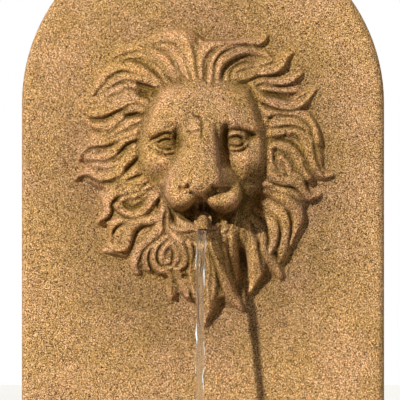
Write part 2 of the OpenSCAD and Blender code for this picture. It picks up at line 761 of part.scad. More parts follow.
module rear_cover() {
    color([0.5, 0.42, 0.3]) difference() {
        union() {
            arch_slab(cover_r, cover_y, panel_back_y, rim_z + cover_lip + lid_gap);
            knuckle_run(0, 0);
            knuckle_webs(0, 0, hinge_x - knuckle_r, hinge_x + knuckle_r - 0.6, panel_back_y - 1, hinge_y);
        }
        translate([-door_w / 2 - lid_gap, panel_back_y - door_t, door_z - lid_gap])
            cube([door_w + 2 * lid_gap, door_t + 1, door_h + 2 * lid_gap]);
        translate([-door_w / 2 + ledge, cover_y - 1, door_z + ledge])
            cube([door_w - 2 * ledge, cover_t + 2, door_h - 2 * ledge]);
        translate([hinge_x, hinge_y, door_mid_z - hinge_l / 2 - 1])
            cylinder(r = pin_d / 2 + run_gap, h = hinge_l + 2);
        for (p = screw_at) translate([p.x, 0, p.y])
            rod_y(screw_r + bolt_gap, cover_y - 1, panel_back_y + 1);
        translate([grommet_at.x, 0, grommet_at.y]) rod_y(grommet_r, cover_y - 1, panel_back_y + 1);
    }
}

module cover_screws() {
    color(STEEL) for (p = screw_at) translate([p.x, 0, p.y]) {
        rod_y(screw_r, cover_y - flange_t, panel_back_y + 1);
        rod_y(screw_d, panel_back_y, panel_back_y + 2.5);
    }
}

module access_door() {
    color([0.46, 0.39, 0.28]) difference() {
        union() {
            translate([-door_w / 2, panel_back_y - door_t, door_z]) cube([door_w, door_t, door_h]);
            knuckle_run(1, face_gap);
            knuckle_webs(1, face_gap, hinge_x, -door_w / 2 + 12, panel_back_y + face_gap, hinge_y - 1);
            knuckle_webs(1, face_gap, -door_w / 2 + 2, -door_w / 2 + 12, panel_back_y - 1, hinge_y - 1);
        }
        translate([hinge_x, hinge_y, door_mid_z - hinge_l / 2 - 1])
            cylinder(r = pin_d / 2 + run_gap, h = hinge_l + 2);
        translate([latch_x, 0, door_mid_z]) rod_y(latch_r + run_gap, cover_y, panel_back_y + 1);
    }
}

module hinge_pin() {
    color(STEEL) translate([hinge_x, hinge_y, door_mid_z - hinge_l / 2]) {
        translate([0, 0, -1.5]) cylinder(r = pin_d / 2, h = hinge_l + 3);
        translate([0, 0, hinge_l]) cylinder(r = pin_d / 2 + 1, h = 1.5);
    }
}

module latch_knob() {
    color(BLACK) translate([latch_x, 0, door_mid_z]) {
        rod_y(latch_r, cam_y, panel_back_y + 1);
        rod_y(9, panel_back_y + face_gap, panel_back_y + 3.3);
        translate([-2, panel_back_y + 3, -8]) cube([4, 5, 16]);
    }
}

module latch_cam() {
    color(STEEL) translate([latch_x, 0, door_mid_z]) difference() {
        translate([-4.5, cam_y, -6]) cube([9, cam_t, 30]);
        rod_y(latch_r + run_gap, cam_y - 1, cam_y + cam_t + 1);
    }
}

module cord_grommet() {
    lip = 3;
    color(BLACK) translate([grommet_at.x, 0, grommet_at.y]) difference() {
        union() {
            rod_y(grommet_r - run_gap, cover_y - 2, panel_back_y + 2);
            rod_y(grommet_r + lip, cover_y - 2, cover_y);
            rod_y(grommet_r + lip, panel_back_y, panel_back_y + 2);
        }
        rod_y(cord_d / 2, cover_y - 3, panel_back_y + 3);
    }
}

// Pump
module rounded_block(w, h, r, y0, y1) {
    translate([0, y1, axis_z]) rotate([90, 0, 0]) linear_extrude(y1 - y0) {
        square([w - 2 * r, h], center = true);
        square([w, h - 2 * r], center = true);
        for (x = [-w / 2 + r, w / 2 - r], y = [-h / 2 + r, h / 2 - r]) translate([x, y]) circle(r = r);
    }
}

module pump_body() {
    color(BLACK) difference() {
        union() {
            rounded_block(pump_w, pump_h, 6, pump_y, pump_y + pump_d);
            translate([0, outlet_y, pump_z + pump_h - 1]) cylinder(r = outlet_r + 2.5, h = boss_h + 1);
        }
        translate([0, 0, axis_z]) {
            rod_y(chamber_r, pump_y - 1, pump_y + chamber_d);
            rod_y(rotor_well_r, pump_y, rotor_end_y);
            rod_y(shaft_r + run_gap, pump_y, rotor_end_y + 2.5);
        }
        translate([0, outlet_y, axis_z]) cylinder(r = outlet_bore, h = pump_h);
        translate([0, outlet_y, boss_top_z - 10]) cylinder(r = outlet_r + run_gap, h = 11);
    }
}

module impeller() {
    disc_y = pump_y + chamber_d - 2;
    color([0.85, 0.86, 0.88]) translate([0, 0, axis_z]) difference() {
        union() {
            rod_y(hub_r, pump_y + 1, rotor_end_y - 1);
            rod_y(disc_r, disc_y, disc_y + 1.5);
            for (a = [0:60:300]) rotate([0, a, 0]) translate([-0.75, pump_y + 1.5, 2])
                cube([1.5, disc_y - pump_y - 1, disc_r - 3]);
        }
        rod_y(shaft_r + run_gap, pump_y, rotor_end_y);
    }
}

module rotor_magnet() {
    color([0.3, 0.3, 0.32]) translate([0, 0, axis_z]) difference() {
        rod_y(rotor_r, pump_y + chamber_d + 0.6, rotor_end_y - 1);
        rod_y(hub_r + run_gap, pump_y, rotor_end_y);
    }
}

module impeller_shaft() {
    color([0.95, 0.95, 0.93]) translate([0, 0, axis_z]) rod_y(shaft_r, pump_y - 1.5, rotor_end_y + 2.5);
}

module volute_cover() {
    color([0.2, 0.22, 0.24]) translate([0, 0, axis_z]) difference() {
        rod_y(chamber_r + 2, pump_y - 2, pump_y);
        difference() {
            rod_y(9, pump_y - 3, pump_y + 1);
            for (a = [0, 60, 120]) rotate([0, a, 0]) translate([-1, pump_y - 3, -10]) cube([2, 4, 20]);
            rod_y(3.5, pump_y - 3, pump_y + 1);
        }
        rod_y(shaft_r + run_gap, pump_y - 3, pump_y + 1);
    }
}

strainer_w = 50;
strainer_h = 46;
strainer_y = pump_y - strainer_d;
strainer_t = 2;
dial_stem_r = 4;

module strainer_cover() {
    color([0.18, 0.18, 0.2]) difference() {
        rounded_block(strainer_w, strainer_h, 5, strainer_y, pump_y);
        rounded_block(strainer_w - 2 * strainer_t, strainer_h - 2 * strainer_t, 3,
            strainer_y + strainer_t, pump_y + 1);
        for (i = [-3.5:1:3.5], z = [-15.5, 15.5])
            translate([i * 5 - 1.25, strainer_y - 1, axis_z + z - 3.5]) cube([2.5, strainer_t + 2, 7]);
        translate([0, 0, axis_z]) rod_y(dial_stem_r + run_gap, strainer_y - 1, strainer_y + 3);
    }
}

module strainer_foam() {
    color([0.16, 0.3, 0.42]) rounded_block(strainer_w - 2 * strainer_t - 1, strainer_h - 2 * strainer_t - 1,
        3, strainer_y + strainer_t + 4, pump_y - 2 - face_gap);
}

module flow_dial() {
    color([0.75, 0.2, 0.15]) translate([0, 0, axis_z]) {
        rod_y(10, strainer_y - 4, strainer_y - face_gap);
        translate([-1, strainer_y - 5.5, 0]) cube([2, 2, 9]);
        rod_y(dial_stem_r, strainer_y - 1, strainer_y + strainer_t + 2);
        rod_y(11, strainer_y + strainer_t + face_gap, strainer_y + strainer_t + 2);
    }
}

module outlet_nozzle() {
    top = hose_foot_z + hose_grip + 2;
    color([0.2, 0.22, 0.24]) translate([0, outlet_y, 0]) difference() {
        union() {
            translate([0, 0, boss_top_z - 10]) cylinder(r = outlet_r, h = 11);
            translate([0, 0, boss_top_z]) cylinder(r = outlet_r + 2.5, h = nozzle_flange_t);
            translate([0, 0, boss_top_z]) cylinder(r = spout_r, h = top - boss_top_z);
        }
        translate([0, 0, boss_top_z - 11]) cylinder(r = outlet_bore, h = top - boss_top_z + 12);
    }
}

module cord_gland() {
    color(BLACK) translate([gland_at.x, gland_at.y, pump_z + pump_h]) difference() {
        union() {
            cylinder(r = 7, h = 4);
            translate([0, 0, 4]) cylinder(r1 = 6.5, r2 = 5.5, h = 10);
        }
        translate([0, 0, 2]) cylinder(r = cord_d / 2, h = 20);
    }
}

module suction_feet() {
    foot = [[0, 3], [6, 0], [8, 0], [4, suction_h - 2], [4, suction_h], [0, suction_h]];
    color([0.2, 0.2, 0.2])
        for (x = [-pump_w / 2 + 10, pump_w / 2 - 10], y = [pump_y + 9, pump_y + pump_d - 9])
            translate([x, y, floor_z]) rotate_extrude() polygon(foot);
}

rubber_feet();
plinth();
plinth_bolts();
plinth_washers();
basin();
pump_deck();
basin_foot();
well_screen();
drain_body();
drain_gasket();
drain_nut();
drain_plug();
back_panel();
panel_bolts();
panel_washers();
panel_nuts();
lion_mask();
mouth_spout();
spout_washer();
spout_nut();
feed_hose();
hose_clamps();
rear_cover();
cover_screws();
access_door();
hinge_pin();
latch_knob();
latch_cam();
cord_grommet();
pump_body();
impeller();
rotor_magnet();
impeller_shaft();
volute_cover();
strainer_cover();
strainer_foam();
flow_dial();
outlet_nozzle();
cord_gland();
suction_feet();
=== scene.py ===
# Looks of the lion floor fountain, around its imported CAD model. Lengths are in metres, and in
# millimetres where a comment says so.
import json
import math

import bmesh
import bpy
import numpy as np
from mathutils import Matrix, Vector


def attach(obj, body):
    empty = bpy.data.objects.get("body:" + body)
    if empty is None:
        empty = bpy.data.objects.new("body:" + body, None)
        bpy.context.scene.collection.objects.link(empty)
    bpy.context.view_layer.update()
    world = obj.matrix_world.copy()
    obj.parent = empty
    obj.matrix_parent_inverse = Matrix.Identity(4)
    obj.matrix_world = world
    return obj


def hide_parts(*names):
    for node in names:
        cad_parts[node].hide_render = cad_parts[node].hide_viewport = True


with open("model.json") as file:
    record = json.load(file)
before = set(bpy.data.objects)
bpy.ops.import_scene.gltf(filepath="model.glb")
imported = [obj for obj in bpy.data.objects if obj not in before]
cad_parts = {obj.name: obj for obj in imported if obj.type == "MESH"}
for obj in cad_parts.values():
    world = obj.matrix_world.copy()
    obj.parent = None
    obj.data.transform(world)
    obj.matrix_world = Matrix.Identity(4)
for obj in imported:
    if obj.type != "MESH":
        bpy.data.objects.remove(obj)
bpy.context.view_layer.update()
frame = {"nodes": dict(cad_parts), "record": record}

# The lion's relief is a grid of heights over the panel, in millimetres over the photo's frame.
# GX and GY say how far each point of the grid is from the frame's left and top.
STEP = 0.8
COLUMNS = np.arange(60, 346.01, STEP)
ROWS = np.arange(14, 334.01, STEP)
GX, GY = np.meshgrid(COLUMNS, ROWS)
# middle of the head, from the left
HEAD_X = 203
# the way that the light travels, to the right and down
LIGHT = (0.74, 0.67)
# longer than any distance on the grid
FAR = 1e9


def ease(t):
    """A smooth step from 0 to 1, as t goes from 0 to 1."""
    t = np.clip(t, 0, 1)
    return t * t * (3 - 2 * t)


def fade(t, start, end):
    """1 along most of a curve, and 0 at its two ends."""
    return ease(t / start) * ease((1 - t) / end)


def spline(points, steps):
    """Points along a smooth curve through the given ones."""
    padded = np.vstack([2 * points[0] - points[1], points, 2 * points[-1] - points[-2]])
    t = np.linspace(0, 1, steps, endpoint=False)[:, None]
    out = []
    for a, b, c, d in zip(padded, padded[1:], padded[2:], padded[3:]):
        out.append(0.5 * (2 * b + (c - a) * t + (2 * a - 5 * b + 4 * c - d) * t ** 2
                          + (3 * b - a - 3 * c + d) * t ** 3))
    return np.vstack(out + [points[-1:]])


def pairs(path):
    """Points of a path, which holds their x and y in turn."""
    return np.array(path, float).reshape(-1, 2)


def near(path, reach):
    """For the grid points within reach of a curve: their window, share along it, signed distance,
    and how far the curve's right-hand side looks away from the light."""
    curve = spline(pairs(path), 7)
    low, high = curve.min(0) - reach, curve.max(0) + reach
    left, right = np.searchsorted(COLUMNS, [low[0], high[0]])
    upper, lower = np.searchsorted(ROWS, [low[1], high[1]])
    window = (slice(upper, lower), slice(left, right))
    x, y = GX[window], GY[window]
    parts = np.diff(curve, axis=0)
    lengths = np.hypot(*parts.T)
    passed = np.concatenate([[0], np.cumsum(lengths)])
    best = np.full(x.shape, FAR)
    share, side, away = (np.zeros(x.shape) for _ in range(3))
    for start, part, length, before in zip(curve, parts, lengths, passed):
        dx, dy = x - start[0], y - start[1]
        tx, ty = part / length
        f = np.clip((dx * tx + dy * ty) / length, 0, 1)
        dist = np.hypot(dx - f * part[0], dy - f * part[1])
        closer = dist < best
        best[closer] = dist[closer]
        share[closer] = ((before + f * length) / passed[-1])[closer]
        side[closer] = np.sign(dy * tx - dx * ty)[closer]
        away[closer] = tx * LIGHT[1] - ty * LIGHT[0]
    return window, share, best * side, away


def along(t, values):
    """Values spread evenly along a curve, at a share of its length."""
    values = np.atleast_1d(values)
    return np.interp(t, np.linspace(0, 1, len(values)), values)


def stroke(field, path, radius, height, ends=0.15):
    """Adds a rounded ridge, or a groove where the height is below zero, along a curve."""
    window, t, dist, _ = near(path, 3 * radius)
    field[window] += along(t, height) * fade(t, ends, ends) * np.exp(-(dist / radius) ** 2)


def crease(field, path, radius, depth):
    """Cuts a groove that is steep on the side of the light and fades out at its ends."""
    window, t, dist, away = near(path, 4.5 * radius)
    level = fade(t, 0.22, 0.3)
    slope = np.where(dist * away > 0, 1 + 0.55 * np.abs(away), 1 - 0.3 * np.abs(away))
    width = radius * (0.55 + 0.45 * level) * slope
    field[window] -= depth * level * np.exp(-(dist / width) ** 2)


def dome(field, x, y, wide, high, lift, turn=0, power=2):
    """Adds a dome, or a hollow where the lift is below zero. Its turn is in degrees."""
    angle = np.radians(turn)
    dx, dy = GX - x, GY - y
    u = dx * np.cos(angle) + dy * np.sin(angle)
    v = -dx * np.sin(angle) + dy * np.cos(angle)
    field += lift * np.exp(-((u / wide) ** 2 + (v / high) ** 2) ** (power / 2))


def add_forms(field, forms):
    """Adds strokes, which start with a list of points, and domes, which start with a number."""
    for form in forms:
        kind = stroke if isinstance(form[0], list) else dome
        kind(field, *form)


def oval(x, y, wide, high):
    """Distance from a middle, where 1 is the edge of an oval."""
    return np.hypot((GX - x) / wide, (GY - y) / high)


def inside(outline):
    """How deep each grid point lies inside a smooth closed outline, below zero outside it."""
    points = pairs(outline)
    curve = spline(np.vstack([points, points[:1]]), 6)
    dist = np.full(GX.shape, FAR)
    within = np.zeros(GX.shape, bool)
    for (ax, ay), (bx, by) in zip(curve, curve[1:]):
        square = max((bx - ax) ** 2 + (by - ay) ** 2, 1e-12)
        f = np.clip(((GX - ax) * (bx - ax) + (GY - ay) * (by - ay)) / square, 0, 1)
        dist = np.minimum(dist, np.hypot(GX - ax - f * (bx - ax), GY - ay - f * (by - ay)))
        if ay != by:
            meets = (bx - ax) * (GY - ay) / (by - ay) + ax
            within ^= ((ay > GY) != (by > GY)) & (GX < meets)
    return np.where(within, dist, -dist)


def blur(field, sigma):
    """Smooths the grid with a bell of that many millimetres, down it and then across."""
    n = int(np.ceil(3 * sigma / STEP))
    bell = np.exp(-0.5 * (np.arange(-n, n + 1) * STEP / sigma) ** 2)
    bell /= bell.sum()
    for _ in range(2):
        padded = np.pad(field, ((n, n), (0, 0)), mode="edge")
        field = sum(share * padded[i:i + len(field)] for i, share in enumerate(bell)).T
    return field


def blend(a, b, soft):
    """The higher of two heights, with the corner between them rounded."""
    share = np.clip(0.5 + 0.5 * (a - b) / soft, 0, 1)
    return b + (a - b) * share + soft * share * (1 - share)


# outlines of the face and of the whole mask. Each path is written as x,y pairs.
FACE = [202,83, 182,82, 168,84, 158,89, 152,100, 146,112, 141,125, 138,140, 138,155, 141,170, 148,180,
    157,191, 164,201, 168,212, 170,226, 182,238, 202,243, 222,238, 236,230, 241,216, 248,203, 258,190,
    266,176, 268,160, 268,145, 267,130, 263,120, 260,110, 255,98, 249,88, 236,83, 220,82]

MANE = [303,207, 312,199, 320,195, 313,184, 322,181, 333,175, 322,168, 322,150, 318,130, 309,114, 300,110,
    311,101, 316,89, 306,92, 298,88, 302,73, 291,75, 293,60, 292,52, 283,56, 274,60, 266,50, 267,36, 258,39,
    246,40, 234,42, 222,42, 212,42, 203,42, 196,35, 189,31, 176,31, 163,33, 150,38, 140,42, 130,45, 118,50,
    111,58, 110,63, 103,73, 96,84, 90,95, 79,106, 83,116, 87,124, 92,134, 90,143, 79,158, 88,162, 86,170,
    75,179, 86,182, 98,187, 102,200, 104,212, 98,222, 109,224, 110,238, 104,251, 122,256, 131,262, 137,274,
    146,270, 156,275, 168,275, 171,286, 172,298, 180,292, 188,298, 197,305, 205,325, 214,316, 222,303,
    232,305, 243,309, 238,290, 243,284, 249,293, 258,281, 266,270, 281,278, 286,262, 293,246, 303,228]

# locks of the mane: path of the crest, half widths, lift over the general form
LOCKS = [
    # upper left
    ([196,88, 193,70, 190,55, 183,42, 172,36, 160,38, 145,43, 132,47, 118,52],
     (3, 5, 6, 6, 4, 1), (2, 3.5, 5, 5, 3, 0)),
    ([188,88, 185,70, 179,56, 169,47, 157,45, 146,46, 134,50], (3, 4, 4, 3.5, 2, 1), (2, 3, 3.5, 3.5, 2, 1)),
    ([180,88, 174,74, 168,65, 161,57, 154,52, 146,49.5, 138,49, 129,50, 120,53, 111,58],
     (3, 4, 4, 3.5, 3, 1), (2, 4, 5, 5, 4, 0)),
    ([171,88, 165,76, 158,66, 150,58, 142,54, 133,55, 124,58, 112,64],
     (3, 4, 4, 4, 3.5, 1), (2, 2, 3, 4, 3, 0)),
    ([160,84, 155,80, 148,76, 142,71, 136,68, 128,66, 118,67, 110,72, 104,78, 98,86, 92,95],
     (3, 5, 5.5, 5, 4, 1), (3, 5, 6, 6, 4, 0)),
    ([156,85, 147,81, 138,78, 127,76, 117,79, 108,86, 100,93], (2, 3.5, 4, 3.5, 1), (3, 4, 4, 3, 0)),
    ([136,86, 126,85, 117,88, 109,93, 100,99, 90,102], (3, 3.5, 3.5, 3, 1), (3, 3.5, 3.5, 2, 0)),
    ([134,95, 125,93, 116,95, 107,101, 96,106, 86,106], (3, 3.5, 3.5, 2.5, 1), (2, 3, 3.5, 2, 0)),
    ([148,104, 138,99, 128,100, 119,104, 110,108.5, 98,112.5, 88,112, 79,105.5],
     (3, 5, 5, 5, 4, 1), (2, 5, 6, 6, 4, 0)),
    ([146,112, 136,109, 126,112, 119,118.5, 113,124, 106,127, 98,127, 92,125, 85,118],
     (3, 3.5, 3.5, 3, 2.5, 1), (2, 4, 5, 5, 4, 0)),
    ([144,120, 135,120, 126,124, 118,130, 110,135, 100,137, 91,137], (3, 4, 4, 4, 2), (2, 4, 4, 3, 0)),
    ([145,129, 138,131, 125,135, 115,138, 108,141, 98,143, 90,145, 84,148, 80,155, 79,159],
     (3, 4, 4.5, 4.5, 3.5, 1), (3, 5, 6, 6, 4, 0)),
    ([142,137, 132,137, 123,142, 117,148, 112,153, 104,157, 95,158, 88,157],
     (3, 3.5, 4, 4, 3, 1), (2, 4, 5, 5, 3, 0)),
    ([141,148, 132,150, 124,157, 116,163, 106,166, 95,165], (3, 3.5, 3.5, 3, 1.5), (2, 3.5, 4, 3, 0)),
    ([142,153, 135,154, 128,159, 122,165, 118,172, 110,176.5, 100,177.5, 92,174, 86,172, 80,173, 74,179],
     (3, 4, 4.5, 4.5, 3.5, 1), (3, 6, 7, 6, 4, 0)),
    # lower left
    ([146,169, 136,172, 126,177, 118,180], (3, 3.5, 3, 1.5), (3, 4, 3, 0)),
    ([151,178, 140,181, 130,184.5, 120,187, 112,192, 106,199], (3, 4, 4, 3.5, 1.5), (3, 4.5, 5, 4, 0)),
    ([150,186, 138,189, 126,190.5, 116,194, 109,200, 107.5,208, 106,215, 98,222],
     (2, 3.5, 4, 4, 3.5, 1), (2, 4, 5, 5, 3, 0)),
    ([115,205, 120,207.5, 124,212, 131,215, 139,214, 146,208, 152,200, 158,194],
     (2.5, 3, 3.5, 3.5, 3), (4, 5, 6, 6, 4)),
    ([152,193, 142,195, 131,196, 121,200], (2, 3, 2.5, 1.5), (2, 3, 2, 1)),
    ([165,214, 158,218, 150,221, 140,221.5, 133,226, 129,232, 127.5,240, 125,247, 117,250, 104,251],
     (2.5, 4, 4.5, 5, 4.5, 1), (4, 6, 7, 6, 4, 0)),
    ([138,219, 130,220, 120,221.5, 113,225, 110,231, 112,238], (2, 3, 3.5, 3, 1.2), (3, 4, 4, 3, 0)),
    ([130,224, 122,228, 118,236, 117,244, 110,247], (3, 3.5, 3, 1), (1, 2, 2, 0)),
    ([163,210, 161,222, 157,232, 150,240, 143,246, 139,252, 136,260, 135,268, 138,273],
     (2.5, 4.5, 4.5, 4, 3, 1), (4, 5, 5, 4, 2, 0)),
    ([158,236, 151,244, 146,252, 145,260, 149,270], (3, 3.5, 3, 1), (1, 2.5, 2.5, 0)),
    ([165,238, 157,245, 153.5,255, 156,266, 164,271, 171,268], (2.5, 3, 3, 2.5, 1), (2, 4, 4, 3, 1)),
    ([170,244, 163.5,248, 161,255, 163.5,262, 168.5,262], (2, 3, 3, 2), (3, 4, 4, 3)),
    ([171,210, 171,225, 176,235, 180,242, 184,250, 186.5,257, 185,264, 175,271.5],
     (2, 3.5, 4, 3.5, 1), (6, 7, 8, 7, 0)),
    ([172,240, 176,250, 177,259, 171,267], (2.5, 3, 2.5, 1), (2, 4, 3, 0)),
    ([166,268, 169,279, 171,289, 171.5,299], (3, 3.5, 3, 1), (1, 3, 3, 0)),
    ([176,270, 180,278, 184,287, 188,298], (3, 4, 3.5, 1), (2, 2, 1, 0)),
    # crown, to the right
    ([200,88, 199.5,70, 200,60, 203,53, 208,47.5, 216,43, 230,41, 246,41, 256,42.5, 262,41, 267,35.5],
     (2.5, 3.5, 4, 4.5, 4, 3, 1.5), (2, 4, 5, 5, 6, 7, 4)),
    ([211,88, 210.5,74, 211,64, 214,57, 221,50, 232,45, 246,44], (2.5, 3, 3.2, 3, 1), (2, 4, 4.5, 4, 0)),
    ([218,88, 217.5,72, 221,63, 228,57, 237,52, 248,50, 260,52, 272,58],
     (2.5, 3, 3.5, 4, 4, 1), (2, 5, 6, 5, 4, 0)),
    ([226,86, 229,78, 236,70, 246,66, 258,64, 268,62, 278,58], (2, 2.5, 3.5, 3.5, 1), (1, 2, 3, 3, 0)),
    ([228,90, 236,80, 245,76.5, 255,73, 265,71, 275,69.5, 282,64, 286,57, 293,52],
     (3, 4.5, 4.5, 4.5, 3.5, 1), (3, 6, 7, 7, 5, 0)),
    ([246,88, 256,82, 265,80, 275,81.5, 285,82, 294,79, 303,72], (3, 3.5, 3.5, 3, 1), (3, 5, 5, 4, 0)),
    ([253,92, 262,88, 275,89, 288,90, 298,90, 309,86], (3, 3.5, 3.5, 2.5, 1), (1, 1.5, 1.5, 2, 0)),
    ([251,84, 254,89, 258,95, 265,99, 276,104, 285,107, 295,106, 303,101.5, 309,96, 316,89],
     (2.5, 4, 4.5, 4.5, 3.5, 1), (3, 6, 7, 6, 4, 0)),
    ([296,97, 303,93, 310,87], (2, 2.5, 1), (2, 4, 1)),
    ([259,106, 266,112, 276,114, 286,112, 297,112, 306,116, 313,122.5, 316.5,131, 318,142],
     (3, 3.5, 4, 4.5, 4, 2), (3, 5, 6, 7, 6, 3)),
    ([264,122, 272,124, 283,122, 294,122, 303,126, 309,133], (3, 4, 4, 3.5, 2), (2, 4, 5, 5, 3)),
    ([266,134, 275,133, 286,131, 297,132, 306,139, 311,149, 314,159, 317,168, 323,175, 334,175],
     (3, 4, 4.5, 5, 4, 1), (3, 5, 6, 7, 6, 0)),
    ([268,149, 275,144.5, 285,147, 293,151.5, 298,157.5, 302,165, 306,173, 310,180],
     (3, 3.5, 3.5, 3.5, 2), (4, 6, 6, 6, 3)),
    ([270,150, 271,159, 276,168, 283,173], (2.5, 3, 2), (3, 4, 2)),
    ([282,158, 288,163, 290,171], (2, 3, 2), (1, 3, 1)),
    ([267,164, 270,170, 275,177, 283,181.5, 292,182, 300,186, 306,193, 312,197.5, 321,194],
     (3, 4, 4, 4, 3, 1), (3, 6, 6, 6, 4, 0)),
    ([290,174, 298,177, 304,184], (2, 3, 1.5), (1, 3, 1)),
    ([264,184, 275,189, 286,191, 296,195, 303,202], (3, 4, 4, 3, 1.5), (1, 3, 4, 4, 1)),
    ([266,192, 276,196, 286,200, 293,206.5, 298,213, 299,221, 296,230, 291,244],
     (3, 4, 4.5, 4.5, 4, 1.5), (2, 5, 6, 7, 5, 1)),
    ([262,202, 271,207, 280,212.5, 285,220, 287,230, 286,240, 283,252, 279,262],
     (3, 4, 4.5, 4, 3.5, 1.5), (2, 3, 4, 4, 3, 1)),
    ([256,210, 265,216, 272,224, 275,234, 273,246, 268,255], (3, 4.5, 5, 4, 2), (2, 2.5, 3, 2.5, 1)),
    ([250,216, 257,224, 262,234, 264,246, 266,256], (3, 4.5, 4.5, 3, 2), (2, 2.5, 2.5, 2, 1)),
    ([262,250, 268,258, 274,266, 282,279], (3, 4, 3.5, 1), (2, 4, 4, 0)),
    # beard
    ([246,222, 247,234, 250,245, 254,256, 257,266, 258,275, 254,284, 248.5,293],
     (3, 6, 7, 7, 5, 1), (4, 6, 8, 8, 6, 0)),
    ([233,238, 233.5,250, 235,262, 236,274, 235,284], (2.5, 3, 2.5, 1.5), (3, 6, 6, 1)),
    ([221,232, 223.5,243, 226,254, 228,266], (2, 2.5, 2), (2, 4, 1)),
    ([212,238, 216,252, 219,264, 225,278, 230,289, 235,299, 243,309],
     (4, 5.5, 6, 5, 3.5, 1), (4, 6, 6, 6, 5, 0)),
    ([209,244, 210,256, 213,268, 213,282, 212,296, 208,312], (3, 4, 4.5, 4, 1), (2, 3, 3.5, 4, 0)),
    ([207,238, 204,252, 208,268, 206,286, 208,304, 205,324], (4, 5, 5, 5.5, 4.5, 1), (3, 4, 4, 5, 5, 0)),
    ([197,238, 199,252, 195,268, 199,284, 201,298, 204,312], (3, 4, 4.5, 4, 1), (3, 4, 4, 4, 0)),
    ([188,236, 189,246, 191,258, 192,270, 193,282, 195,296], (2.5, 3.5, 3.5, 3, 1), (3, 4, 4, 4, 0)),
]

